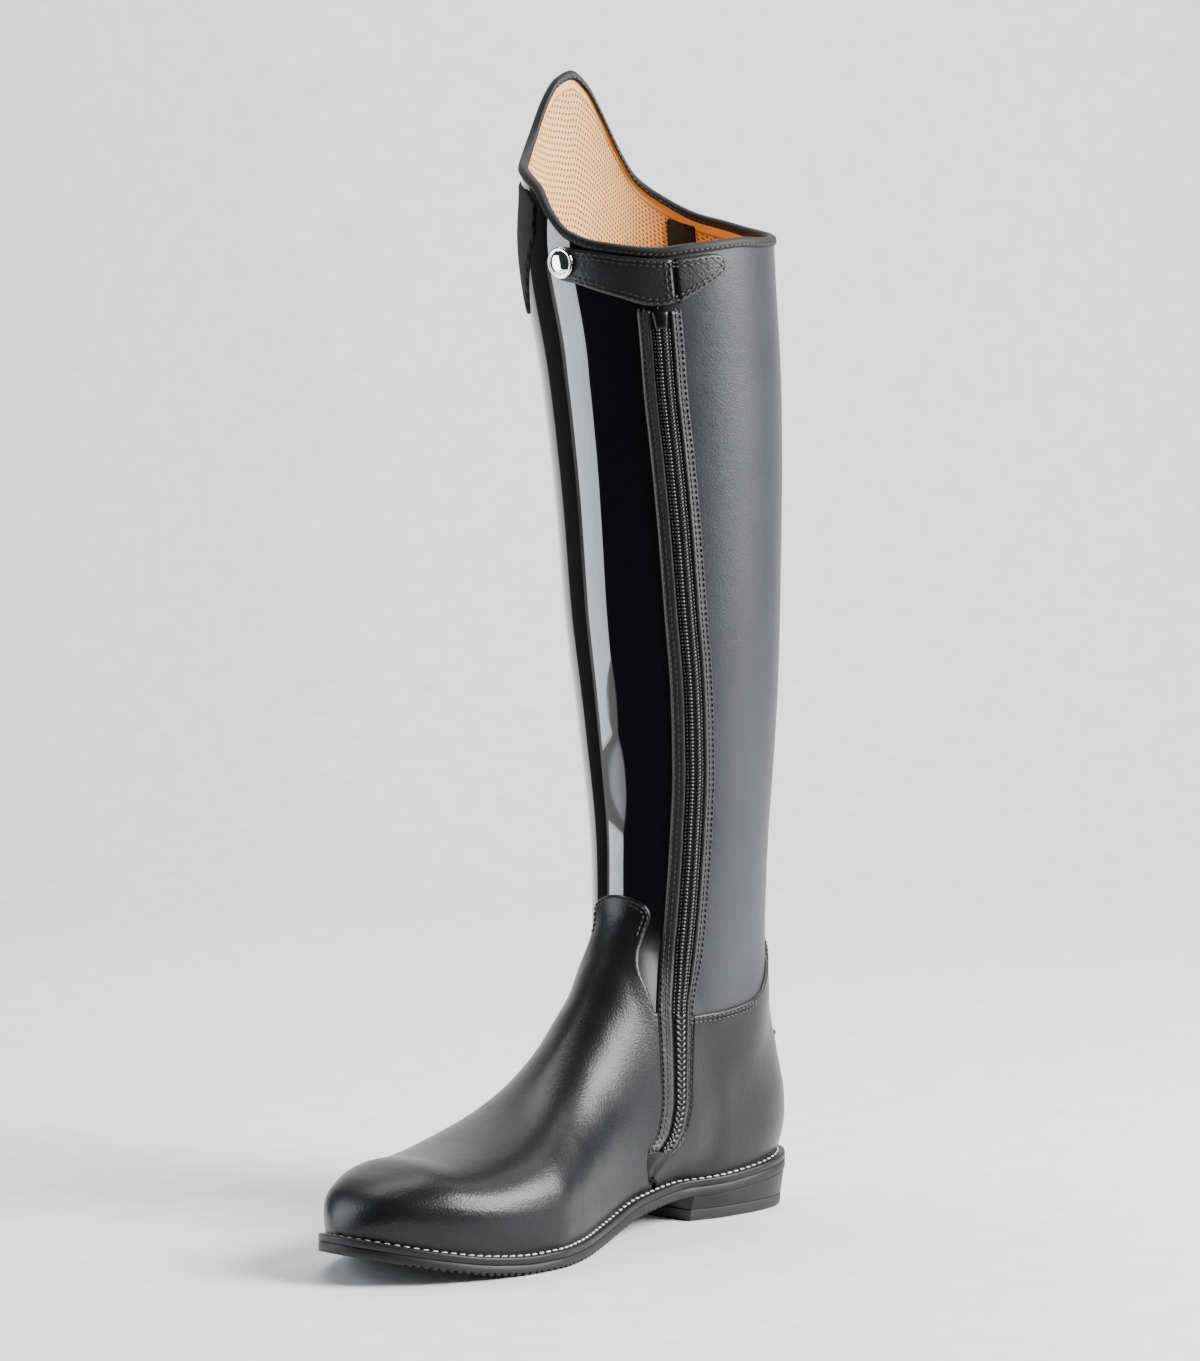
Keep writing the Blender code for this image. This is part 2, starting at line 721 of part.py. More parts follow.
def make_foot_overlays(grid, outward, parts, cutters, leather):
    """Vamp and heel counter, cut from one skin over the foot."""
    rings = len(TOE_RINGS) + len(CREST_RINGS) + 4
    half_gap = ZIP_GAP / 2 + ZIP_FACING + FIT_CLEARANCE
    far, seam, floor = SOLE_LENGTH, SIDE_SEAM * SOLE_LENGTH, -0.01
    scallop, tail = scaled(VAMP_EDGE), scaled(COUNTER_EDGE)
    front_edge, rear_edge = zip_edge(-half_gap, scallop[0][1]), zip_edge(half_gap, tail[0][1])
    vamp_top = scallop[-1][1]
    vamp_inner = [(-far, floor)] + [(front_edge[0][0], floor)] + front_edge + scallop + [(-far, vamp_top)]
    vamp_outer = [(-far, floor), (seam, floor), (seam, scallop[0][1])] + scallop + [(-far, vamp_top)]
    tail_top = tail[-1][1]
    counter_rear = [(far, floor), (far, tail_top)] + tail[::-1][:-1]
    counter_inner = counter_rear + rear_edge[::-1] + [(rear_edge[0][0], floor)]
    gap_seam = seam + 2 * CLEARANCE
    counter_outer = counter_rear + [(gap_seam, tail[1][1]), (gap_seam, floor)]
    for name, inner_outline, outer_outline in (
        ("vamp", vamp_inner, vamp_outer),
        ("heel_counter", counter_inner, counter_outer),
    ):
        obj = skin(name, grid[:rings], outward[:rings], CLEARANCE, CLEARANCE + OVERLAY, parts, leather)
        inner = side_prism(name + "_inner_cutter", inner_outline, 1, cutters)
        outer = side_prism(name + "_outer_cutter", outer_outline, -1, cutters)
        cut(inner, [outer], "UNION")
        cut(obj, [inner])


def side_prism(name, outline, side, collection):
    """Cutter with an outline drawn in the side view, from the middle plane outwards."""
    base = np.array([(0.0, y, z) for y, z in outline])
    base[:, 0] = -side * 1e-5
    reach = np.array([side * BALL_WIDTH, 0, 0])
    return loft(name, [base, base + reach], collection, None)


def outer_face(grid):
    """Search tree of the flat facets on the outside of the upper."""
    rings, columns = grid.shape[:2]
    faces = []
    for i in range(rings - 1):
        for j in range(columns):
            k = (j + 1) % columns
            low, high = i * columns, (i + 1) * columns
            faces += [(high + j, low + j, low + k), (high + j, low + k, high + k)]
    return BVHTree.FromPolygons([Vector(point) for point in grid.reshape(-1, 3)], faces)


def zip_strip(name, wall, levels, widths, profile, parts, material):
    """Sweep a profile of (distance from the zip's middle, height off the leather) along the zip."""
    profile = np.array(profile)
    points = beside_zip(profile[None, :, 0] * widths[:, None], levels)
    seats = [wall.find_nearest(Vector(point))[0] for point in points.reshape(-1, 3)]
    seats = np.array(seats).reshape(points.shape)
    return loft(name, layer(seats, normals(points), profile[None, :, 1:]), parts, material)


def make_zip(wall, parts, textile, leather, metal):
    """Tape, coil, slider, the folded leather edges beside them and the patch at their foot."""
    full = zip_levels()
    even = np.ones(len(full))
    base = CLEARANCE + STRIP_CLEARANCE
    tape_top = base + ZIP_TAPE
    edge = ZIP_GAP / 2 - CLEARANCE
    tape = [(-edge, base), (0, base), (edge, base), (edge, tape_top), (0, tape_top), (-edge, tape_top)]
    zip_strip("zip_tape", wall, full, even, tape, parts, textile)

    coil_base = tape_top + CLEARANCE
    coil_top = coil_base + ZIP_COIL_HEIGHT
    half = ZIP_COIL_WIDTH / 2
    coil = [(-half, coil_base), (0, coil_base), (half, coil_base), (half * 0.7, coil_top), (-half * 0.7, coil_top)]
    slider_foot = full[-1] - SLIDER_LENGTH
    coil_levels = zip_levels(slider_foot - 2 * CLEARANCE)
    zip_strip("zip_coil", wall, coil_levels, even, coil, parts, textile)

    slide = SLIDER_WIDTH / 2
    slider_top = coil_base + SLIDER_HEIGHT
    slider = [(-slide, coil_base), (0, coil_base), (slide, coil_base), (slide * 0.75, slider_top),
              (-slide * 0.75, slider_top)]
    slider_levels = np.linspace(slider_foot, full[-1], 4)
    zip_strip("zip_slider", wall, slider_levels, np.ones(4), slider, parts, metal)

    top = CLEARANCE + OVERLAY
    wide = ZIP_GAP / 2 + ZIP_FACING
    for name, side in (("zip_front_facing", -1), ("zip_rear_facing", 1)):
        near, far = side * ZIP_GAP / 2, side * wide
        facing = [(near, base), (far, base), (far - side * FACING_SKIVE, top), (near, top * 1.15)]
        zip_strip(name, wall, full, even, facing, parts, leather)

    patch_foot, patch_top = float(shaft_level(ZIP_PATCH_FOOT)), full[0] - 2 * CLEARANCE
    shares = np.linspace(0, 1, 4)
    patch_levels = patch_foot + (patch_top - patch_foot) * shares
    patch = [(-wide, base), (wide, base), (wide - FACING_SKIVE, top), (FACING_SKIVE - wide, top)]
    zip_strip("zip_end_patch", wall, patch_levels, 0.25 + 0.75 * shares, patch, parts, leather)


def banded_prism(name, rows, collection):
    """Cutter fan that follows bearings round the leg, between a lower and an upper height."""
    sections = []
    for bearing, low, high in rows:
        heading = np.array([math.sin(math.radians(bearing)), -math.cos(math.radians(bearing)), 0])
        centre = np.array([0, float(leg_axis(SHAFT_HEIGHT)), 0])
        near, far = centre + heading * 0.2 * CALF_WIDTH, centre + heading * 1.2 * CALF_WIDTH
        low, high = shaft_level([low, high])
        sections.append([(*near[:2], low), (*far[:2], low), (*far[:2], high), (*near[:2], high)])
    return loft(name, sections, collection, None)


def make_bands(grid, outward, parts, cutters, leather, elastic):
    """Strap, its anchor tab and the two elastic pieces, cut from skins round the top of the shaft."""
    rows = slice(-6, None)
    trims = (
        ("top_strap", STRAP_EDGE, STRAP_THICKNESS, leather),
        ("strap_tab", TAB_EDGE, STRAP_THICKNESS * 0.8, leather),
        ("front_gusset", FRONT_GUSSET_EDGE, ELASTIC_THICKNESS, elastic),
        ("rear_gusset", REAR_GUSSET_EDGE, ELASTIC_THICKNESS, elastic),
    )
    for name, edge, thickness, material in trims:
        obj = skin(name, grid[rows], outward[rows], CLEARANCE, CLEARANCE + thickness, parts, material)
        cut(obj, [banded_prism(name + "_cutter", edge, cutters)])


def make_binding(grid, outward, parts, leather):
    """Narrow leather binding folded over the rim."""
    top, below = grid[-1], grid[-2]
    down = below - top
    down /= np.linalg.norm(down, axis=1, keepdims=True)
    out = outward[-1]
    thick, gap = BINDING_THICKNESS, CLEARANCE
    inside = -WALL - gap
    crown = -gap - thick
    profile = ((gap, BINDING_DEPTH), (gap + thick, BINDING_DEPTH), (gap + thick * 0.6, crown),
               (inside - thick * 0.6, crown), (inside - thick, BINDING_DEPTH), (inside, BINDING_DEPTH),
               (inside, -gap), (gap, -gap))
    sections = [[spot + aside * across + fall * drop for across, drop in profile]
                for spot, aside, fall in zip(top, out, down)]
    return loft("top_binding", sections, parts, leather, closed=True)


def make_snap(parts, metal):
    """Plain domed snap on the rounded end of the strap."""
    bearing, level = math.radians(SNAP_BEARING), float(shaft_level(SNAP_LEVEL))
    spot = on_leg(bearing, level)
    out = normals(spot)
    radius = SNAP_DIAMETER / 2
    profile = bpy.data.meshes.new("snap_profile")
    points = [(radius * across, SNAP_HEIGHT * height) for across, height in SNAP_DOME]
    points += [(radius, SNAP_HEIGHT * 0.3), (radius * 0.8, 0.0), (0.0, 0.0)]
    bm = bmesh.new()
    verts = [bm.verts.new((x, 0, z)) for x, z in points]
    for first, second in zip(verts, verts[1:]):
        bm.edges.new((first, second))
    bm.to_mesh(profile)
    bm.free()
    obj = bpy.data.objects.new("snap_stud", profile)
    parts.objects.link(obj)
    profile.materials.append(metal)
    screw = obj.modifiers.new("Screw", "SCREW")
    screw.steps = screw.render_steps = 16
    screw.use_merge_vertices = True
    screw.merge_threshold = 1e-5
    obj.location = Vector(spot + out * (STRAP_THICKNESS + 2 * CLEARANCE + 2e-4))
    obj.rotation_mode = "QUATERNION"
    obj.rotation_quaternion = Vector(out).to_track_quat("Z", "Y")
    return obj


def make_spur_rest(parts, leather):
    """Small rounded nub across the back seam."""
    level = float(shaft_level(SPUR_LEVEL))
    sections = []
    base = CLEARANCE * 2 + OVERLAY + 1e-4
    for share in np.linspace(-1, 1, 9):
        size = math.sqrt(max(1 - share ** 2 * 0.8, 0))
        x = share * SPUR_WIDTH / 2
        bearing = math.pi - x / (0.4 * BALL_WIDTH)
        heights = level + np.array([-0.5, 0.5, 0.3, -0.3]) * SPUR_HEIGHT * size
        points = on_leg(np.full(4, bearing), heights)
        lift = np.array([base, base, base + SPUR_DEPTH * size, base + SPUR_DEPTH * size])
        sections.append(points + normals(points) * lift[:, None])
    return loft("spur_rest", sections, parts, leather)


def main():
    """Build every piece of the boot."""
    for obj in list(bpy.data.objects):
        bpy.data.objects.remove(obj)
    parts = bpy.data.collections.new("dress_riding_boot")
    cutters = bpy.data.collections.new("cutters")
    for collection in (parts, cutters):
        bpy.context.scene.collection.children.link(collection)

    foot_leather = finish_material("foot_leather", (0.022, 0.022, 0.024), 0.42)
    shaft_leather = finish_material("shaft_leather", (0.020, 0.020, 0.022), 0.45)
    strap_leather = finish_material("strap_leather", (0.024, 0.024, 0.026), 0.48)
    elastic = finish_material("elastic", (0.018, 0.018, 0.018), 0.85)
    rubber = finish_material("rubber", (0.030, 0.030, 0.032), 0.60)
    welt_leather = finish_material("welt_leather", (0.026, 0.026, 0.028), 0.50)
    board = finish_material("insole_board", (0.45, 0.28, 0.14), 0.70)
    textile = finish_material("zip_textile", (0.012, 0.012, 0.013), 0.60)
    chrome = finish_material("chrome", (0.80, 0.81, 0.83), 0.08, 1.0)
    black_metal = finish_material("black_metal", (0.05, 0.05, 0.05), 0.35, 1.0)

    make_outsole(parts, rubber)
    make_heel(parts, rubber, rubber)
    make_welt(parts, welt_leather)
    make_insole(parts, board)
    grid = leather_grid()
    outward = normals(grid)
    make_upper(grid, outward, parts, shaft_leather)
    make_foot_overlays(grid, outward, parts, cutters, foot_leather)
    make_zip(outer_face(grid), parts, textile, shaft_leather, black_metal)
    make_bands(grid, outward, parts, cutters, strap_leather, elastic)
    make_binding(grid, outward, parts, strap_leather)
    make_snap(parts, chrome)
    make_spur_rest(parts, foot_leather)
    for cutter in cutters.objects:
        cutter.hide_render = True
        cutter.display_type = "WIRE"


main()
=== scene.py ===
"""Studio render of a right-hand dress riding boot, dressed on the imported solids."""
import logging
import math
from dataclasses import dataclass, field
from enum import Enum, IntEnum
from typing import Any, Callable, Iterable, Iterator, Sequence

import bmesh
import bpy
import numpy as np
from mathutils import Matrix, Vector


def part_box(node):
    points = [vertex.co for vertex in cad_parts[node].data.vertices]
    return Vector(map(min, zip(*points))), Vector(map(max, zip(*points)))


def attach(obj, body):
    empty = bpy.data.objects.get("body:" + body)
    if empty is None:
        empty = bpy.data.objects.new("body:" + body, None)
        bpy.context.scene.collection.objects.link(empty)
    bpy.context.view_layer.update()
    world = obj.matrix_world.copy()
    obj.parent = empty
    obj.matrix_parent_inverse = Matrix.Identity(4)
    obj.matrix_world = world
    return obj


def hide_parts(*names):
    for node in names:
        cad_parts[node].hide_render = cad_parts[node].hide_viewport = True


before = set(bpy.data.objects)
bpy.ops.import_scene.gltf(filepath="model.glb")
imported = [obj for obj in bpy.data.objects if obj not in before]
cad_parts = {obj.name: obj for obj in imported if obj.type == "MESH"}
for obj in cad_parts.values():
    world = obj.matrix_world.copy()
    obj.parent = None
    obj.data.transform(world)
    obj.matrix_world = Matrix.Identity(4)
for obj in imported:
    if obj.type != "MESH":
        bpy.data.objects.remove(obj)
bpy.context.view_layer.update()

LOG = logging.getLogger("riding_boot")
Array = np.ndarray
Rows = tuple[tuple[float, ...], ...]
Size = tuple[float, float, float]
Shape = tuple[Array, list[tuple[int, ...]]]


class Side(IntEnum):
    """Side of the boot. The zip is on the inner one, where x is above 0."""

    INNER = 1
    OUTER = -1


class Slot(Enum):
    """The record's material slots."""

    SHAFT = "shaft_leather"
    FOOT = "foot_leather"
    STRAP = "strap_leather"
    ELASTIC = "elastic"
    ZIP = "zip_textile"
    METAL = "black_metal"
    CHROME = "chrome"
    RUBBER = "rubber"
    WELT = "welt_leather"
    INSOLE = "insole_board"


def node_size(node: str, axis: int) -> float:
    """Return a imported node's length along an axis, 0 to 2."""
    low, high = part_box(node)
    return high[axis] - low[axis]


# Driving sizes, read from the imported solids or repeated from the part's own named sizes
SOLE_LENGTH = node_size("welt", 1)
BALL_WIDTH = 0.1045
HEEL_LENGTH = 0.080
HEEL_PITCH = 0.0192
WAIST_HEIGHT = 0.0121
TOE_SPRING = 0.0130
OUTSOLE_THICKNESS = 0.0048
WELT_THICKNESS = 0.0033
WELT_MARGIN = 0.0036
LIFT_THICKNESS = node_size("heel_lift", 2)
INSTEP_RISE = 0.100
SHAFT_HEIGHT = 0.470
CALF_WIDTH = 0.1186
WALL = 0.0021
OVERLAY = 0.0013
CLEARANCE = 0.0003
ZIP_GAP = 0.0092
ZIP_FACING = 0.0058

HALF = SOLE_LENGTH / 2
EDGE_THICKNESS = OUTSOLE_THICKNESS + WELT_THICKNESS
UPPER_INSET = WELT_MARGIN + OVERLAY + CLEARANCE
# Play between two faces that would else share a plane, and height of a thread's middle over the leather
TOUCH = 5e-5
THREAD_LIFT = 0.0001

# Half widths of the sole from heel to toe: share of the length, inner and outer share of the ball width
OUTLINE: Rows = (
    (0.00, 0.322, 0.322), (0.12, 0.322, 0.322), (0.20, 0.306, 0.318), (0.30, 0.238, 0.300),
    (0.40, 0.262, 0.326), (0.47, 0.305, 0.366), (0.55, 0.380, 0.412), (0.63, 0.460, 0.462),
    (0.70, 0.502, 0.495), (0.80, 0.500, 0.505), (1.00, 0.478, 0.490),
)
TOE_ROUND = {Side.INNER: (0.70, 2.1), Side.OUTER: (0.64, 1.9)}
HEEL_ROUND = (0.13, 2.4)

# Underside of the sole: share of the length, share of the heel pitch, of the waist height, of the toe spring
UNDERSIDE: Rows = (
    (0.00, 1.0, 0.00, 0.00), (0.27, 0.0, 1.00, 0.00), (0.41, 0.0, 0.72, 0.00), (0.51, 0.0, 0.30, 0.00),
    (0.60, 0.0, 0.06, 0.00), (0.66, 0.0, 0.00, 0.00), (0.74, 0.0, 0.00, 0.00), (0.82, 0.0, 0.00, 0.14),
    (0.90, 0.0, 0.00, 0.45), (1.00, 0.0, 0.00, 1.00),
)

# Sections of the foot: share of the length, rise and belly as shares of the instep rise,
# inner and outer flare as shares of the ball width, roundness, inward ridge shift as share of the ball width
FOOT: Rows = (
    (0.000, 1.050, 0.200, 0.031, 0.031, 2.80, 0.000), (0.120, 1.050, 0.200, 0.031, 0.031, 2.80, 0.000),
    (0.220, 1.100, 0.210, 0.043, 0.033, 2.70, 0.000), (0.300, 1.170, 0.220, 0.105, 0.048, 2.50, 0.000),
    (0.360, 1.180, 0.220, 0.091, 0.043, 2.20, 0.010), (0.400, 1.096, 0.210, 0.072, 0.033, 2.00, 0.019),
    (0.450, 0.936, 0.190, 0.053, 0.024, 1.90, 0.029), (0.500, 0.806, 0.170, 0.038, 0.019, 1.85, 0.038),
    (0.568, 0.666, 0.150, 0.024, 0.019, 1.90, 0.043), (0.636, 0.561, 0.140, 0.019, 0.019, 2.00, 0.043),
    (0.700, 0.486, 0.130, 0.019, 0.019, 2.10, 0.038), (0.770, 0.426, 0.125, 0.017, 0.017, 2.20, 0.029),
    (0.840, 0.378, 0.120, 0.015, 0.015, 2.25, 0.019), (0.880, 0.362, 0.115, 0.014, 0.014, 2.30, 0.010),
    (0.930, 0.325, 0.110, 0.014, 0.014, 2.40, 0.000), (1.000, 0.285, 0.100, 0.014, 0.014, 2.40, 0.000),
)
TOE_CAP = (0.86, 2.3)

# Back line: share of the shaft height, share of the sole length
BACK_LINE: Rows = (
    (0.040, 0.4795), (0.057, 0.4835), (0.077, 0.4900), (0.100, 0.4925), (0.119, 0.4905), (0.145, 0.4790),
    (0.168, 0.4690), (0.189, 0.4610), (0.223, 0.4535), (0.262, 0.4500), (0.296, 0.4490), (0.332, 0.4495),
    (0.396, 0.4505), (0.460, 0.4560), (0.545, 0.4600), (0.638, 0.4580), (0.728, 0.4570), (0.813, 0.4517),
    (0.874, 0.4440), (0.938, 0.4310), (1.002, 0.4195), (1.064, 0.4065), (1.200, 0.3780),
)

# Sections of the leg: share of the shaft height, front line as share of the sole length,
# half width as share of the calf width, roundness
LEG: Rows = (
    (0.064, 0.254, 0.170, 2.10), (0.128, 0.210, 0.254, 2.10), (0.170, 0.176, 0.284, 2.10),
    (0.213, 0.149, 0.300, 2.10), (0.266, 0.139, 0.312, 2.10), (0.319, 0.139, 0.325, 2.05),
    (0.372, 0.139, 0.341, 2.00), (0.494, 0.120, 0.386, 2.00), (0.609, 0.095, 0.425, 2.00),
    (0.736, 0.075, 0.451, 2.00), (0.851, 0.048, 0.475, 2.00), (0.996, 0.002, 0.500, 2.00),
    (1.045, 0.005, 0.491, 2.00), (1.100, 0.001, 0.488, 2.00), (1.200, -0.012, 0.488, 2.00),
)
LEG_FLOOR = 0.064
LEG_FADE = 0.02
ANKLE = 0.266

# Rim of the collar: turn round the shaft from the back through the inner side, share of the shaft height
RIM: Rows = (
    (0.000, 1.020), (0.045, 1.010), (0.136, 0.996), (0.206, 0.988), (0.256, 0.985), (0.297, 0.980),
    (0.339, 0.975), (0.378, 0.971), (0.450, 0.978), (0.490, 0.990), (0.522, 1.014), (0.550, 1.040),
    (0.600, 1.060), (0.655, 1.078), (0.690, 1.103), (0.714, 1.130), (0.730, 1.149), (0.748, 1.165),
    (0.774, 1.174), (0.797, 1.163), (0.819, 1.139), (0.849, 1.098), (0.873, 1.070), (0.910, 1.049),
    (0.957, 1.030), (1.000, 1.020),
)

# Course of the zip: share of the shaft height, bearing from the front towards the inner side in degrees
ZIP_COURSE: Rows = (
    (0.055, 26.0), (0.068, 28.0), (0.080, 31.0), (0.100, 36.0), (0.132, 38.4), (0.174, 38.4), (0.217, 38.3),
    (0.249, 40.1), (0.304, 43.8), (0.383, 47.1), (0.466, 49.0), (0.549, 48.5), (0.610, 47.1), (0.685, 45.2),
    (0.764, 43.0), (0.845, 41.4), (0.909, 42.1), (1.000, 43.5),
)
ZIP_TOP = 0.913
ZIP_FOOT = 0.083
ZIP_PATCH_FOOT = 0.058

# Top edge of the vamp seen from the side: share of the sole length, share of the shaft height
VAMP_EDGE: Rows = (
    (0.128, 0.2190), (0.126, 0.2320), (0.124, 0.243), (0.121, 0.254), (0.122, 0.265), (0.130, 0.279),
    (0.142, 0.292), (0.152, 0.306), (0.1535, 0.315), (0.150, 0.323), (0.144, 0.329), (0.137, 0.334),
)
# Top edge of the counter seen from the side, rising to the dog tail
COUNTER_EDGE: Rows = (
    (0.180, 0.2115), (0.264, 0.2150), (0.313, 0.2195), (0.351, 0.2262), (0.375, 0.2379), (0.396, 0.2530),
    (0.418, 0.2720), (0.440, 0.2880), (0.470, 0.2960),
)
SIDE_SEAM = 0.170

# Strap and tab: bearing from the front towards the inner side in degrees, lower and upper share of the height
STRAP_EDGE: Rows = (
    (-6.0, 0.955, 0.967), (-4.5, 0.948, 0.974), (-1.0, 0.944, 0.9765), (6.0, 0.940, 0.975),
    (16.0, 0.932, 0.9715), (27.0, 0.924, 0.9665), (36.0, 0.9175, 0.9640), (43.0, 0.9165, 0.9630),
    (50.0, 0.9200, 0.9630),
)
TAB_EDGE: Rows = (
    (51.2, 0.9195, 0.9630), (60.0, 0.930, 0.9660), (68.0, 0.940, 0.9690), (73.0, 0.9475, 0.9690),
    (75.6, 0.9530, 0.9650),
)

# Elastic pieces: bearing in degrees, lower and upper share of the height
FRONT_GUSSET_EDGE: Rows = (
    (-74.0, 1.050, 1.069), (-66.0, 1.018, 1.062), (-56.0, 0.976, 1.055), (-46.0, 0.933, 1.048),
    (-41.0, 0.917, 1.046), (-36.0, 0.930, 1.042), (-28.0, 0.958, 1.038), (-18.0, 0.992, 1.022),
)
REAR_GUSSET_EDGE: Rows = (
    (-164.0, 0.870, 1.018), (-158.0, 0.870, 1.022), (-150.0, 0.870, 1.028),
)
OUTER_SEAM = -100.0

# The photograph's camera, worked out from the boot's own lines
CAMERA_TURN = math.radians(41.5)
CAMERA_DISTANCE = 1.6154
CAMERA_HEIGHT = 0.3062
CAMERA_YAW = 0.0114678
CAMERA_PITCH = 0.0294123
SENSOR = 36.0
LENS = 92.24


def smooth(rows: Rows, column: int, scale: float = 1.0, unit: float = 1.0) -> Callable[[Array], Array]:
    """Make a smooth function through one column of a table, without overshoot.

    Args:
        rows: the table, its places in the first column.
        column: the column of values.
        scale: what the values are shares of.
        unit: what the places are shares of.

    Returns:
        A function of a place, held at the table's ends.
    """
    places = np.array([row[0] for row in rows]) * unit
    values = np.array([row[column] for row in rows]) * scale
    steps = np.diff(places)
    slopes = np.diff(values) / steps
    tangents = np.empty_like(values)
    tangents[0], tangents[-1] = slopes[0], slopes[-1]
    before, after = slopes[:-1], slopes[1:]
    total = np.where(before + after == 0, 1.0, before + after)
    tangents[1:-1] = np.where(before * after > 0, 2 * before * after / total, 0.0)

    def value(place: Array) -> Array:
        """Value at a place."""
        place = np.clip(place, places[0], places[-1])
        index = np.clip(np.searchsorted(places, place, side="right") - 1, 0, len(steps) - 1)
        t = (place - places[index]) / steps[index]
        rest = 1 - t
        ends = values[index] * (1 + 2 * t) * rest ** 2 + values[index + 1] * t * t * (3 - 2 * t)
        return ends + steps[index] * t * rest * (tangents[index] * rest - tangents[index + 1] * t)

    return value


INNER_WIDTH = smooth(OUTLINE, 1, BALL_WIDTH)
OUTER_WIDTH = smooth(OUTLINE, 2, BALL_WIDTH)
FOOT_RISE = smooth(FOOT, 1, INSTEP_RISE)
FOOT_BELLY = smooth(FOOT, 2, INSTEP_RISE)
INNER_FLARE = smooth(FOOT, 3, BALL_WIDTH)
OUTER_FLARE = smooth(FOOT, 4, BALL_WIDTH)
FOOT_ROUND = smooth(FOOT, 5)
FOOT_RIDGE = smooth(FOOT, 6, BALL_WIDTH)
BACK_AT = smooth(BACK_LINE, 1, SOLE_LENGTH, SHAFT_HEIGHT)
FRONT_AT = smooth(LEG, 1, SOLE_LENGTH, SHAFT_HEIGHT)
LEG_WIDTH = smooth(LEG, 2, CALF_WIDTH, SHAFT_HEIGHT)
LEG_ROUND = smooth(LEG, 3, 1.0, SHAFT_HEIGHT)
RIM_HEIGHT = smooth(RIM, 1, SHAFT_HEIGHT)
ZIP_BEARING = smooth(ZIP_COURSE, 1, math.radians(1), SHAFT_HEIGHT)
PITCH_PART = smooth(UNDERSIDE, 1, HEEL_PITCH)
WAIST_PART = smooth(UNDERSIDE, 2, WAIST_HEIGHT)
SPRING_PART = smooth(UNDERSIDE, 3, TOE_SPRING)


def cap(share: Array, power: float) -> Array:
    """Quarter of a superellipse: 1 at share 0, falling steeply to 0 at share 1."""
    share = np.clip(share, 0, 1)
    return (1 - share ** power) ** (1 / power)


def along(y: Array, inset: float = 0.0) -> Array:
    """Share of the length from the heel at y, on the outline drawn in by inset."""
    return (HALF - inset - y) / (SOLE_LENGTH - 2 * inset)


def half_width(share: Array, side: Side, inset: float = 0.0) -> Array:
    """Half width of the sole outline on one side.

    Args:
        share: share of the length from the heel.
        side: the side.
        inset: how far the outline is drawn in.

    Returns:
        The half width, 0 at both ends.
    """
    body = (INNER_WIDTH if side is Side.INNER else OUTER_WIDTH)(share) - inset
    start, power = TOE_ROUND[side]
    heel_end, heel_power = HEEL_ROUND
    toe = cap((share - start) / (1 - start), power)
    return body * toe * cap((heel_end - share) / heel_end, heel_power)


def underside(y: Array) -> Array:
    """Height of the outsole's underside."""
    share = along(y)
    return PITCH_PART(share) + WAIST_PART(share) + SPRING_PART(share)


def feather(y: Array) -> Array:
    """Height of the line where the upper meets the welt."""
    return underside(y) + EDGE_THICKNESS


def radial(size: Array, reach: Array) -> Array:
    """Turn a size relative to a section into the distance along the line from the section's middle."""
    return (size - 1) * np.maximum(reach, 1e-3) / np.maximum(size, 1e-3)


def side_view(rows: Rows) -> Array:
    """Side-view table rows in metres."""
    return np.array(rows) * (SOLE_LENGTH, SHAFT_HEIGHT)


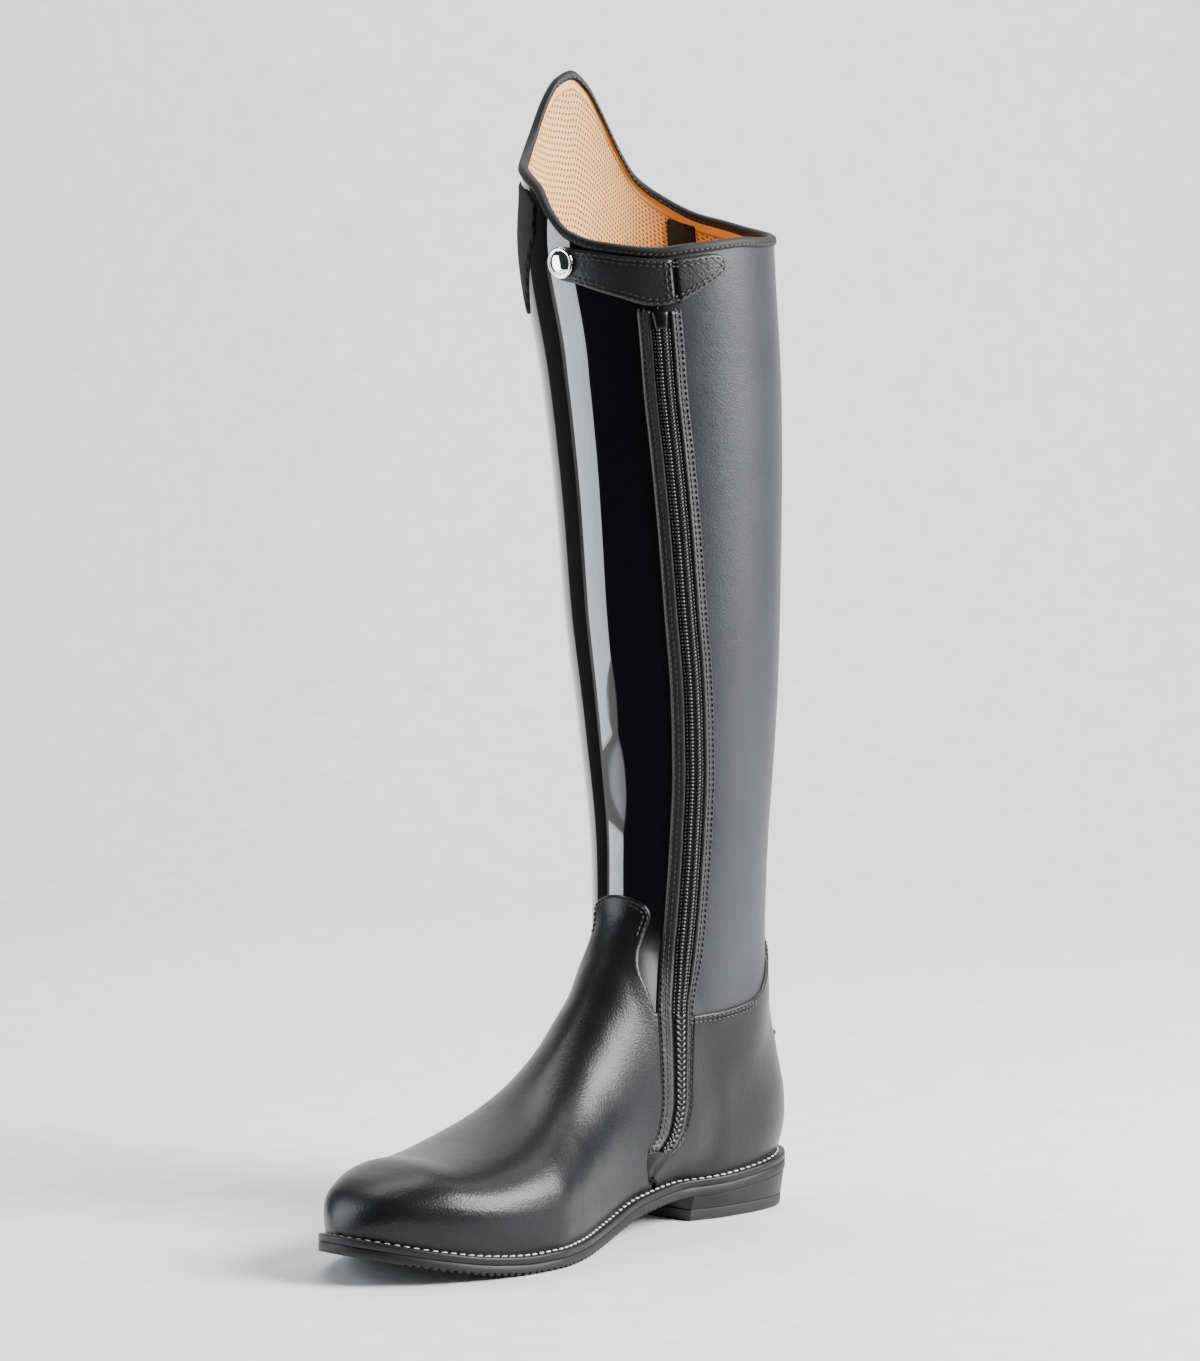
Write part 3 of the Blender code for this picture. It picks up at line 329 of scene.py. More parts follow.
class Last:
    """The shape that every leather piece is pulled over: a foot joined to a leg."""

    # Distance behind the middle, as share of the length, from which the last leans to the back line
    BACK_FROM = 0.136
    # Most of the rise that the belly takes up, and the half width below which the flare dies away
    BELLY_MOST, FLARE_FULL = 0.45, 0.02
    # Blend of foot and leg: its size, where it is smallest, the run over which it grows, and its least share
    BLEND, BLEND_END, BLEND_RUN, BLEND_LEAST = 0.068, 0.34, 0.2, 0.15
    # Longest line from the middle to the surface, and how often it is halved in the search
    FARTHEST, HALVINGS = 0.9 * SOLE_LENGTH, 18

    @classmethod
    def foot(cls, x: Array, y: Array, z: Array) -> Array:
        """Distance outside the foot, below 0 inside.

        Args:
            x: distance towards the inner side.
            y: distance behind the middle of the sole.
            z: height.

        Returns:
            A distance for each point.
        """
        turn = cls.BACK_FROM * SOLE_LENGTH
        rear = HALF - UPPER_INSET
        back = BACK_AT(z)
        place = np.where(y > turn, turn + (y - turn) * (rear - turn) / (back - turn), y)
        share = along(place, UPPER_INSET)
        inside = np.clip(share, 0, 1)
        start, power = TOE_CAP
        rise = FOOT_RISE(inside) * np.maximum(cap((inside - start) / (1 - start), power), 1e-3)
        belly = np.minimum(FOOT_BELLY(inside), rise * cls.BELLY_MOST)
        level = z - feather(y)
        up = np.maximum((level - belly) / (rise - belly), 0)
        shifted = x - FOOT_RIDGE(inside) * up
        widen = np.sin(math.pi / 2 * np.clip(level / belly, 0, 1))
        widths = []
        for side, flare in ((Side.INNER, INNER_FLARE), (Side.OUTER, OUTER_FLARE)):
            base = np.maximum(half_width(inside, side, UPPER_INSET), 1e-5)
            widths.append(base + flare(inside) * np.clip(base / cls.FLARE_FULL, 0, 1) * widen)
        width = np.where(shifted >= 0, widths[0], widths[1])
        power = FOOT_ROUND(inside)
        size = (np.minimum(np.abs(shifted) / width, 40) ** power + up ** power) ** (1 / power)
        size = np.where(share == inside, size, np.maximum(size, 1) + 10 * np.abs(share - inside))
        return radial(size, np.hypot(shifted, up * (rise - belly)))

    @staticmethod
    def axis(z: Array) -> Array:
        """Middle of the leg from front to back."""
        z = np.maximum(z, ANKLE * SHAFT_HEIGHT)
        return (FRONT_AT(z) + BACK_AT(z)) / 2

    @staticmethod
    def leg(x: Array, y: Array, z: Array) -> Array:
        """Distance outside the leg, below 0 inside.

        Args:
            x: distance towards the inner side.
            y: distance behind the middle of the sole.
            z: height.

        Returns:
            A distance for each point.
        """
        back, front = BACK_AT(z), FRONT_AT(z)
        power = LEG_ROUND(z)
        deep = y - (back + front) / 2
        size = (np.abs(x) / LEG_WIDTH(z)) ** power + (np.abs(deep) * 2 / (back - front)) ** power
        floor = np.maximum(0, LEG_FLOOR * SHAFT_HEIGHT - z) / LEG_FADE
        return radial(size ** (1 / power) + floor, np.hypot(x, deep))

    @classmethod
    def field(cls, x: Array, y: Array, z: Array) -> Array:
        """Foot and leg joined with a soft blend, softest at the instep.

        Args:
            x: distance towards the inner side.
            y: distance behind the middle of the sole.
            z: height.

        Returns:
            Distance outside the last for each point, below 0 inside.
        """
        foot, leg = cls.foot(x, y, z), cls.leg(x, y, z)
        grown = (cls.BLEND_END * SOLE_LENGTH - y) / (cls.BLEND_RUN * SOLE_LENGTH)
        blend = cls.BLEND * SOLE_LENGTH * np.clip(grown, cls.BLEND_LEAST, 1)
        overlap = np.maximum(blend - np.abs(foot - leg), 0) / blend
        return np.minimum(foot, leg) - overlap ** 2 * blend / 4

    @classmethod
    def normals(cls, points: Array, step: float = 6e-4) -> Array:
        """Outward unit normals at an array of points.

        Args:
            points: the points.
            step: how far apart the surface is compared.

        Returns:
            A normal for each point.
        """
        axes = []
        for axis in range(3):
            shift = np.zeros(3)
            shift[axis] = step
            high, low = points + shift, points - shift
            axes.append(cls.field(*np.moveaxis(high, -1, 0)) - cls.field(*np.moveaxis(low, -1, 0)))
        slope = np.stack(axes, -1)
        return slope / np.linalg.norm(slope, axis=-1, keepdims=True)

    @classmethod
    def reach(cls, farthest: Array, spot: Callable[[Array], tuple[Array, Array, Array]]) -> Array:
        """Find how far lines that start inside the last run before they leave it.

        Args:
            farthest: the longest that each line can be.
            spot: x, y and z at a distance along each line.

        Returns:
            A distance for each line.
        """
        low, high = np.zeros_like(farthest), farthest
        for _ in range(cls.HALVINGS):
            middle = (low + high) / 2
            inside = cls.field(*spot(middle)) < 0
            low, high = np.where(inside, middle, low), np.where(inside, high, middle)
        return low

    @classmethod
    def cast(cls, centre: Array, bearing: Array, height_at: Callable[[Array, Array], Array]) -> Array:
        """Find where rays from a centre line meet the last.

        Args:
            centre: y of the line that the rays start from.
            bearing: directions in radians, from the front towards the inner side.
            height_at: height of a ray's point at x, y.

        Returns:
            A point for each ray.
        """
        sine, cosine = np.sin(bearing), -np.cos(bearing)

        def spot(far: Array) -> tuple[Array, Array, Array]:
            """Point at a distance along each ray."""
            x, y = far * sine, centre + far * cosine
            return x, y, height_at(x, y)

        return np.stack(spot(cls.reach(np.full_like(bearing, cls.FARTHEST), spot)), -1)

    @classmethod
    def on_leg(cls, bearing: Array, z: Array) -> Array:
        """Points on the last at a bearing from the leg's axis and a height."""
        bearing, z = np.broadcast_arrays(np.asarray(bearing, float), np.asarray(z, float))
        return cls.cast(cls.axis(z), bearing.copy(), lambda x, y: z)

    @classmethod
    def on_side(cls, y: Array, z: Array, side: Side) -> Array:
        """Points on one side of the last at y and z.

        Args:
            y: distance behind the middle of the sole.
            z: height.
            side: the side.

        Returns:
            The points.
        """
        y, z = np.asarray(y, float), np.asarray(z, float)
        far = cls.reach(np.full_like(y, BALL_WIDTH), lambda x: (side * x, y, z))
        return np.stack([side * far, y, z], -1)


@dataclass(frozen=True)
class Fold:
    """A soft trough or ridge that wear has left in the leather, drawn in the side view."""

    side: Side
    path: Rows
    width: float
    depth: float
    fade: float = 0.012

    def lift(self, points: Array) -> Array:
        """Height that the fold adds at each point, below 0 in a trough.

        Args:
            points: points on the last.

        Returns:
            The heights.
        """
        line = side_view(self.path)
        away = np.full(points.shape[:-1], 1.0)
        for start, end in zip(line, line[1:]):
            run = end - start
            offset = points[..., 1:] - start
            share = np.clip((offset @ run) / (run @ run), 0, 1)
            away = np.minimum(away, np.linalg.norm(offset - share[..., None] * run, axis=-1))
        reach = np.clip(points[..., 0] * self.side / self.fade, 0, 1)
        return self.depth * np.exp(-(away / self.width) ** 2) * reach


HEEL_FOLD: Rows = ((0.330, 0.275), (0.300, 0.235), (0.275, 0.200))
FOLDS = (
    Fold(Side.INNER, HEEL_FOLD, 0.011, -0.0009),
    Fold(Side.INNER, ((0.395, 0.230), (0.330, 0.165), (0.250, 0.120)), 0.012, 0.0007),
    Fold(Side.INNER, ((0.060, 0.235), (0.095, 0.205), (0.120, 0.165)), 0.009, -0.0003),
    Fold(Side.OUTER, ((0.060, 0.240), (0.110, 0.210), (0.160, 0.170)), 0.009, -0.0008),
    Fold(Side.OUTER, HEEL_FOLD, 0.011, -0.0009),
)


@dataclass
class Skin:
    """Rings of points on the last, from the feather line up to the rim, with outward normals."""

    points: Array
    outward: Array

    # Rings over the feather line: centre as share of the length, top as share of the instep rise, count
    LOW_CENTRE, LOW_TOP, LOW_RINGS = 0.05, 0.2, 26
    # Rings over the foot: where the first and the last cross the ridge, their rise at the heel, count
    FOOT_FRONTS, FOOT_HEELS, FOOT_RINGS = (0.955, 0.385), (0.22, 1.03), 112
    # Level rings round the leg: shares of the shaft height and count, and the count from there to the rim
    LEG_SPAN, LEG_RINGS, RIM_RINGS = (0.298, 0.84), 128, 56
    # Extra length that a turn of one radian gets when points are spread, and over how many steps it is shared
    BEND_LENGTH, BEND_STEPS = 0.012, 9

    @classmethod
    def heights(cls) -> Iterator[tuple[float, Callable[[Array, Array], Array]]]:
        """Yield each ring's centre and the function that gives its height."""

        def tilted(heel: float, toe: float) -> Callable[[Array, Array], Array]:
            """Height of a ring that rises over the feather line from heel to toe."""
            return lambda x, y: feather(y) + heel + (toe - heel) * along(y, UPPER_INSET)

        for lift in np.linspace(0, cls.LOW_TOP, cls.LOW_RINGS) * INSTEP_RISE:
            yield cls.LOW_CENTRE * SOLE_LENGTH, tilted(lift, lift)
        start, power = TOE_CAP
        fronts = np.linspace(*cls.FOOT_FRONTS, cls.FOOT_RINGS)
        for front, heel in zip(fronts, np.linspace(*cls.FOOT_HEELS, cls.FOOT_RINGS) * INSTEP_RISE):
            top = float(FOOT_RISE(front) * cap((front - start) / (1 - start), power))
            centre = HALF - front * SOLE_LENGTH * 0.5 - 0.02 * SOLE_LENGTH
            yield centre, tilted(heel, heel + (top - heel) / front)
        first, last = cls.LEG_SPAN
        base = last * SHAFT_HEIGHT
        for z in np.linspace(first * SHAFT_HEIGHT, base, cls.LEG_RINGS):
            yield float(Last.axis(z)), lambda x, y, z=z: np.full_like(y, z)
        centre = float(Last.axis(SHAFT_HEIGHT))
        for share in np.linspace(0, 1, cls.RIM_RINGS)[1:]:
            def height(x: Array, y: Array, share: float = share) -> Array:
                """Height between the shaft's last level ring and the rim."""
                turn = (0.5 - np.arctan2(x, centre - y) / (2 * math.pi)) % 1
                return base + (RIM_HEIGHT(turn) - base) * share
            yield centre, height

    @classmethod
    def evenly(cls, points: Array, count: int) -> Array:
        """Spread points evenly along an open line, closer together where it turns.

        Args:
            points: the line.
            count: how many points to return.

        Returns:
            The new points, with the same ends.
        """
        steps = np.diff(points, axis=0)
        lengths = np.linalg.norm(steps, axis=1)
        headings = steps / lengths[:, None]
        turns = np.arccos(np.clip((headings[1:] * headings[:-1]).sum(1), -1, 1))
        bend = np.zeros(len(lengths))
        bend[1:] += turns / 2
        bend[:-1] += turns / 2
        shared = np.convolve(bend, np.ones(cls.BEND_STEPS) / cls.BEND_STEPS, mode="same")
        run = np.concatenate([[0], np.cumsum(lengths + cls.BEND_LENGTH * shared)])
        marks = np.linspace(0, run[-1], count)
        return np.stack([np.interp(marks, run, points[:, axis]) for axis in range(3)], -1)

    @classmethod
    def over_last(cls, columns: int = 324, rays: int = 648) -> "Skin":
        """Pull a fine skin over the whole last.

        Args:
            columns: points in each ring, from the back through the inner side.
            rays: rays cast for each ring before the points are spread evenly.

        Returns:
            The skin with the folds pressed in.
        """
        bearings = math.pi - np.arange(rays) * 2 * math.pi / rays
        rings = []
        for centre, height in cls.heights():
            ring = Last.cast(centre, bearings, height)
            inner = cls.evenly(ring[:rays // 2 + 1], columns // 2 + 1)
            outer = cls.evenly(np.vstack([ring[rays // 2:], ring[:1]]), columns // 2 + 1)
            rings.append(np.vstack([inner[:-1], outer[:-1]]))
        points = np.array(rings)
        outward = Last.normals(points)
        points = points + outward * sum(fold.lift(points) for fold in FOLDS)[..., None]
        return cls(points, outward)

    def at(self, distance: float) -> Array:
        """Points at a distance from the last, kept just above the welt.

        Args:
            distance: the distance, below 0 inside.

        Returns:
            The points, in rings.
        """
        points = self.points + self.outward * distance
        points[..., 2] = np.maximum(points[..., 2], feather(points[..., 1]) + TOUCH)
        return points

    def flat(self) -> Array:
        """Place of each point on the flat leather, in metres: round the ring, and up."""
        around = np.linalg.norm(np.diff(self.points, axis=1, prepend=self.points[:, -1:]), axis=-1)
        up = np.linalg.norm(np.diff(self.points, axis=0, prepend=self.points[:1]), axis=-1)
        return np.stack([np.cumsum(around, axis=1), np.cumsum(up, axis=0)], -1)


def inside_outline(places: Array, outline: Array) -> Array:
    """Distance of flat places inside a closed outline, below 0 outside it.

    Args:
        places: the places.
        outline: the outline's corners.

    Returns:
        A distance for each place.
    """
    away = np.full(places.shape[:-1], np.inf)
    crossings = np.zeros(places.shape[:-1], bool)
    across, up = places[..., 0], places[..., 1]
    for (x0, y0), (x1, y1) in zip(outline, np.roll(outline, -1, axis=0)):
        run_x, run_y = x1 - x0, y1 - y0
        share = np.clip(((across - x0) * run_x + (up - y0) * run_y) / (run_x ** 2 + run_y ** 2 + 1e-18), 0, 1)
        away = np.minimum(away, np.hypot(across - x0 - share * run_x, up - y0 - share * run_y))
        if y0 != y1:
            meets = x0 + (up - y0) * run_x / run_y
            crossings ^= ((y0 > up) != (y1 > up)) & (across < meets)
    return np.where(crossings, away, -away)


def slice_faces(data: Array, faces: Array, value: Array, keep_both: bool) -> tuple[Array, Array]:
    """Cut triangles along the line where a value is 0.

    Args:
        data: a row of coordinates and other numbers for each point.
        faces: triangles as three indices.
        value: the value at each point.
        keep_both: whether the part below 0 stays too.

    Returns:
        The points with the new ones added, and the triangles.
    """
    above = value >= 0
    count = above[faces].sum(1)
    mixed = faces[(count == 1) | (count == 2)]
    kept = [faces[count == 3]] + ([faces[count == 0]] if keep_both else [])
    if not len(mixed):
        return data, np.vstack(kept)
    lone = above[mixed].sum(1) == 1
    odd = np.argmax(above[mixed] == lone[:, None], axis=1)
    a, b, c = (mixed[np.arange(len(mixed)), (odd + turn) % 3] for turn in range(3))
    pairs = np.sort(np.vstack([np.stack([a, b], 1), np.stack([a, c], 1)]), axis=1)
    edges, index = np.unique(pairs, axis=0, return_inverse=True)
    index = index.reshape(-1) + len(data)
    low, high = value[edges[:, 0]], value[edges[:, 1]]
    share = (low / (low - high))[:, None]
    added = data[edges[:, 0]] * (1 - share) + data[edges[:, 1]] * share
    ab, ac = index[:len(mixed)], index[len(mixed):]
    tip = np.stack([a, ab, ac], 1)
    rest = np.vstack([np.stack([ab, b, c], 1), np.stack([ab, c, ac], 1)])
    twice = np.concatenate([lone, lone])
    kept += [tip[lone], rest[~twice]]
    if keep_both:
        kept += [tip[~lone], rest[twice]]
    return np.vstack([data, added]), np.vstack(kept)


def mesh_object(name: str, verts: Array, faces: Iterable[Sequence[int]], finish: bpy.types.Material,
                flat: Array | None = None) -> bpy.types.Object:
    """Make a smooth-shaded mesh object.

    Args:
        name: the piece's name.
        verts: its points, in metres.
        faces: its faces as indices.
        finish: its material.
        flat: place of each point on the flat leather, kept as the UV map.

    Returns:
        The object, linked to the scene.
    """
    mesh = bpy.data.meshes.new(name)
    mesh.from_pydata(np.asarray(verts).tolist(), [], [list(map(int, face)) for face in faces])
    if flat is not None:
        layer = mesh.uv_layers.new(name="flat")
        corners = np.empty(len(mesh.loops), np.int32)
        mesh.loops.foreach_get("vertex_index", corners)
        layer.data.foreach_set("uv", np.asarray(flat, np.float32)[corners].ravel())
    mesh.polygons.foreach_set("use_smooth", [True] * len(mesh.polygons))
    mesh.materials.append(finish)
    obj = bpy.data.objects.new(name, mesh)
    bpy.context.scene.collection.objects.link(obj)
    return obj


def swept(sections: Array, closed: bool = False) -> Shape:
    """Join closed sections of equal size into one skin, capped unless it is a loop.

    Args:
        sections: points in sections, each the same way round.
        closed: whether the last section joins the first.

    Returns:
        The points and faces.
    """
    count, size = sections.shape[:2]
    faces: list[tuple[int, ...]] = []
    for i in range(count if closed else count - 1):
        first, second = i * size, (i + 1) % count * size
        for j in range(size):
            k = (j + 1) % size
            faces.append((first + j, first + k, second + k, second + j))
    if not closed:
        faces.append(tuple(range(size)))
        faces.append(tuple(reversed(range((count - 1) * size, count * size))))
    return sections.reshape(-1, 3), faces


def outward_faces(obj: bpy.types.Object) -> bpy.types.Object:
    """Turn a closed mesh's faces outwards.

    Args:
        obj: the piece.

    Returns:
        The same piece.
    """
    bm = bmesh.new()
    bm.from_mesh(obj.data)
    bmesh.ops.remove_doubles(bm, verts=bm.verts, dist=1e-7)
    bmesh.ops.recalc_face_normals(bm, faces=bm.faces)
    bm.to_mesh(obj.data)
    bm.free()
    return obj


def report(obj: bpy.types.Object, slot: Slot, *nodes: str) -> bpy.types.Object:
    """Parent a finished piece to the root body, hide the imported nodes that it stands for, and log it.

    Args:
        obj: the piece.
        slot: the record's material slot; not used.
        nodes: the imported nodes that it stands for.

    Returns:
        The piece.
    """
    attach(obj, "root")
    if nodes:
        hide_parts(*nodes)
    LOG.info("%s: %d faces", obj.name, len(obj.data.polygons))
    return obj


@dataclass
class Panel:
    """A piece of leather cut from the skin, its edge rolled down to what lies under it."""

    name: str
    base: float
    top: float
    roll: float = 0.0009
    rounding: tuple[float, ...] = (0.25, 1.0)

    def build(self, skin: Skin, inside: Array, finish: bpy.types.Material) -> bpy.types.Object:
        """Cut the panel.

        Args:
            skin: the skin that it is cut from.
            inside: distance inside the panel's outline at each of the skin's points.
            finish: its material.

        Returns:
            The panel.
        """
        rings, columns = inside.shape
        index = np.arange(rings * columns).reshape(rings, columns)
        right = np.roll(index, -1, axis=1)
        a, b, c, d = index[:-1], right[:-1], right[1:], index[1:]
        faces = np.vstack([np.stack(corners, -1).reshape(-1, 3) for corners in ((a, d, c), (a, c, b))])
        value = inside.reshape(-1)
        faces = faces[(value[faces] > 0).any(1)]
        data = np.hstack([skin.points.reshape(-1, 3), skin.outward.reshape(-1, 3),
                          skin.flat().reshape(-1, 2), value[:, None]])
        data, faces = slice_faces(data, faces, data[:, 8], False)
        for share in self.rounding:
            data, faces = slice_faces(data, faces, data[:, 8] - share * self.roll, True)
        used, faces = np.unique(faces, return_inverse=True)
        faces, data = faces.reshape(-1, 3), data[used]
        full = np.clip(data[:, 8] / self.roll, 0, 1)
        height = self.base + (self.top - self.base) * np.sqrt(1 - (1 - full) ** 2)
        points = data[:, :3] + data[:, 3:6] * height[:, None]
        points[:, 2] = np.maximum(points[:, 2], feather(points[:, 1]) + TOUCH)
        return mesh_object(self.name, points, faces, finish, data[:, 6:8])


class Value:
    """A shader socket as a number: each operator adds a Math node."""

    def __init__(self, shade: "Shade", socket: bpy.types.NodeSocket) -> None:
        """Keep the socket and the tree that it belongs to."""
        self.shade = shade
        self.socket = socket

    def math(self, operation: str, *others: Any) -> "Value":
        """Join this value and others in a Math node."""
        inputs = dict(enumerate((self, *others)))
        return self.shade.node("ShaderNodeMath", {"operation": operation}, inputs)

    def __add__(self, other: Any) -> "Value":
        """Sum."""
        return self.math("ADD", other)

    __radd__ = __add__

    def __sub__(self, other: Any) -> "Value":
        """Difference."""
        return self.math("SUBTRACT", other)

    def __rsub__(self, other: Any) -> "Value":
        """Difference from a number."""
        return self.shade.node("ShaderNodeMath", {"operation": "SUBTRACT"}, {0: other, 1: self})

    def __mul__(self, other: Any) -> "Value":
        """Product."""
        return self.math("MULTIPLY", other)

    __rmul__ = __mul__

    def __truediv__(self, other: Any) -> "Value":
        """Quotient."""
        return self.math("DIVIDE", other)

    def sine(self) -> "Value":
        """Sine."""
        return self.math("SINE")

    def step(self, low: float, high: float) -> "Value":
        """Soft step from 0 at low to 1 at high."""
        settings = {"interpolation_type": "SMOOTHSTEP"}
        inputs = {"Value": self, "From Min": low, "From Max": high}
        return self.shade.node("ShaderNodeMapRange", settings, inputs)


class Shade:
    """The nodes of one Principled material."""

    def __init__(self, name: str, **sockets: Any) -> None:
        """Start a material.

        Args:
            name: the material's name.
            sockets: fixed values of the shader's sockets, an underscore for each space.
        """
        self.material = bpy.data.materials.new(name)
        self.material.use_nodes = True
        self.tree = self.material.node_tree
        self.shader = self.tree.nodes["Principled BSDF"]
        for key, value in sockets.items():
            self.feed(key.replace("_", " "), value)

    def node(self, kind: str, settings: dict[str, Any] | None = None, sockets: dict[Any, Any] | None = None,
             output: Any = 0) -> Value:
        """Add a node.

        Args:
            kind: the node's type.
            settings: its settings, and a ramp's stops as (place, colour) pairs.
            sockets: values or links of its inputs.
            output: the output to return.

        Returns:
            The chosen output.
        """
        made = self.tree.nodes.new(kind)
        for key, value in (settings or {}).items():
            if key == "stops":
                for element, (place, colour) in zip(made.color_ramp.elements, value):
                    element.position, element.color = place, (*colour, 1.0)
            else:
                setattr(made, key, value)
        for key, value in (sockets or {}).items():
            self.join(made.inputs[key], value)
        return Value(self, made.outputs[output])

    def join(self, socket: bpy.types.NodeSocket, value: Any) -> None:
        """Link a value to a socket, or set the socket to it.

        Args:
            socket: the input.
            value: a value, a colour or a number.
        """
        if isinstance(value, Value):
            self.tree.links.new(value.socket, socket)
        elif isinstance(value, tuple) and len(value) == 3 and socket.type == "RGBA":
            socket.default_value = (*value, 1.0)
        else:
            socket.default_value = value

    def feed(self, name: str, value: Any) -> None:
        """Set or link one of the shader's sockets."""
        self.join(self.shader.inputs[name], value)

    def place(self, scale: float = 1.0) -> Value:
        """Object coordinates, scaled."""
        spot = self.node("ShaderNodeTexCoord", output="Object")
        return self.node("ShaderNodeMapping", None, {"Vector": spot, "Scale": (scale, scale, scale)})

    def noise(self, size: float, detail: float = 2.0, place: Value | None = None) -> Value:
        """Soft random value between 0 and 1 with features of a size in metres.

        Args:
            size: the size.
            detail: how many finer layers it has.
            place: coordinates, those of the object if not given.

        Returns:
            The value.
        """
        sockets = {"Vector": place or self.place(), "Scale": 1 / size, "Detail": detail}
        return self.node("ShaderNodeTexNoise", None, sockets)

    def cells(self, size: float) -> Value:
        """Distance from the middles of random cells of a size in metres."""
        return self.node("ShaderNodeTexVoronoi", None, {"Vector": self.place(), "Scale": 1 / size})

    def flat(self) -> tuple[Value, Value]:
        """Place on the flat leather, in metres, from the piece's own UV map."""
        spot = self.node("ShaderNodeUVMap", {"uv_map": "flat"})
        parts = [self.node("ShaderNodeSeparateXYZ", None, {0: spot}, axis) for axis in (0, 1)]
        return parts[0], parts[1]

    def mix(self, share: Value, first: Any, second: Any) -> Value:
        """Colour between two colours.

        Args:
            share: share of the second.
            first: the first colour.
            second: the second colour.

        Returns:
            The colour.
        """
        made = self.tree.nodes.new("ShaderNodeMix")
        made.data_type = "RGBA"
        self.join(made.inputs[0], share)
        self.join(made.inputs[6], first)
        self.join(made.inputs[7], second)
        return Value(self, made.outputs[2])

    def relief(self, height: Value, depth: float, strength: float = 1.0) -> bpy.types.Material:
        """Feed a height map to the shader's normal.

        Args:
            height: the height, 0 to 1.
            depth: how deep it is, in metres.
            strength: how much of it shows.

        Returns:
            The finished material.
        """
        bump = self.node("ShaderNodeBump", None, {"Height": height, "Distance": depth, "Strength": strength})
        self.feed("Normal", bump)
        return self.material


@dataclass(frozen=True)
class Leather:
    """Grained leather with a soft, slightly uneven sheen."""

    name: str
    colour: tuple[float, float, float]
    roughness: float
    grain: float = 0.0011
    depth: float = 0.00010
    coat: float = 0.0
    level: float = 0.5

    def make(self) -> bpy.types.Material:
        """Make the material."""
        shade = Shade(self.name, Coat_Weight=self.coat, Coat_Roughness=0.25, Specular_IOR_Level=self.level)
        cloud = shade.noise(0.035, 3.0)
        fine = shade.noise(self.grain * 0.5, 3.0)
        lighter = tuple(min(1.0, part * 1.5 + 0.002) for part in self.colour)
        shade.feed("Base Color", shade.mix(cloud, self.colour, lighter))
        shade.feed("Roughness", cloud * 0.10 + fine * 0.06 + (self.roughness - 0.08))
        height = shade.cells(self.grain) * 0.6 + fine * 0.7 + shade.noise(0.006, 2.0) * 1.2
        return shade.relief(height, self.depth)


@dataclass(frozen=True)
class Patent:
    """Black leather under a mirror-bright lacquer that waves a little."""

    name: str = "patent_leather"
    fade: tuple[float, float] = (0.13, 0.16)
    dull: float = 0.415
    shine: float = 0.38
    wave: float = 0.0008

    def make(self) -> bpy.types.Material:
        """Make the material."""
        shade = Shade(self.name, Base_Color=(0.004, 0.004, 0.005), Coat_Roughness=0.015, Specular_IOR_Level=0.6)
        up = shade.node("ShaderNodeSeparateXYZ", None, {0: shade.place()}, 2)
        bright = up.step(*self.fade)
        shade.feed("Coat Weight", bright)
        shade.feed("Roughness", shade.noise(0.02, 2.0) * 0.03 + self.dull - bright * self.shine)
        wave = shade.noise(0.070, 1.0) + shade.noise(0.020, 1.0) * 0.05
        return shade.relief(wave, self.wave)


@dataclass(frozen=True)
class Knit:
    """Coarse elastic with upright ribs, with painted shade darkening the valleys between them."""

    name: str = "knit_elastic"
    pitch: float = 0.0017

    def make(self) -> bpy.types.Material:
        """Make the material."""
        shade = Shade(self.name, Specular_IOR_Level=0.3)
        around, up = shade.flat()
        turn = 2 * math.pi / self.pitch
        rib = (around * turn).sine() * 0.5 + 0.5
        loop = (up * (turn * 1.3) + (around * turn).sine() * 1.6).sine() * 0.5 + 0.5
        weave = rib * 0.6 + loop * 0.4
        # Base colour follows the weave's height: painted shade darkens the valleys between ribs and loops,
        # against their lighter tops.
        shade.feed("Base Color", shade.mix(weave, (0.006, 0.006, 0.006), (0.040, 0.040, 0.040)))
        shade.feed("Roughness", weave * -0.1 + 0.9)
        return shade.relief(weave, 0.0006)


@dataclass(frozen=True)
class Lining:
    """Tan leather with staggered pinholes below a plain facing band, with painted shade in the pinholes and in
    the groove at the band's edge.
    """

    name: str = "tan_lining"
    pitch: float = 0.0038
    hole: float = 0.00068
    band: float = 0.008

    def make(self) -> bpy.types.Material:
        """Make the material."""
        shade = Shade(self.name, Specular_IOR_Level=0.3)
        around, up = shade.flat()
        below = shade.node("ShaderNodeAttribute", {"attribute_name": "below_rim"}, output="Fac")
        holes: Value | None = None
        for shift in (0.0, 0.5):
            across = (around / self.pitch + shift).math("FRACT") - 0.5
            rise = (up / (self.pitch * 1.15) + shift).math("FRACT") - 0.5
            away = (across * across + rise * rise).math("SQRT") * self.pitch
            spot = 1 - away.step(self.hole * 0.7, self.hole * 1.3)
            holes = spot if holes is None else holes.math("MAXIMUM", spot)
        holes = holes * below.step(self.band, self.band + 0.0006)
        groove = 1 - (below - self.band).math("ABSOLUTE").step(0.0002, 0.0008)
        cloud = shade.noise(0.012, 4.0)
        base = shade.mix(cloud, (0.90, 0.46, 0.15), (0.98, 0.58, 0.24))
        # The pinholes and the groove at the band's edge are darkened towards dark tan: painted shade in these
        # recesses.
        shade.feed("Base Color", shade.mix(holes.math("MAXIMUM", groove * 0.6), base, (0.20, 0.085, 0.03)))
        shade.feed("Roughness", cloud * 0.1 + 0.55)
        height = 1 - holes - groove * 0.6 + shade.noise(0.0009, 3.0) * 0.25
        return shade.relief(height, 0.0003)


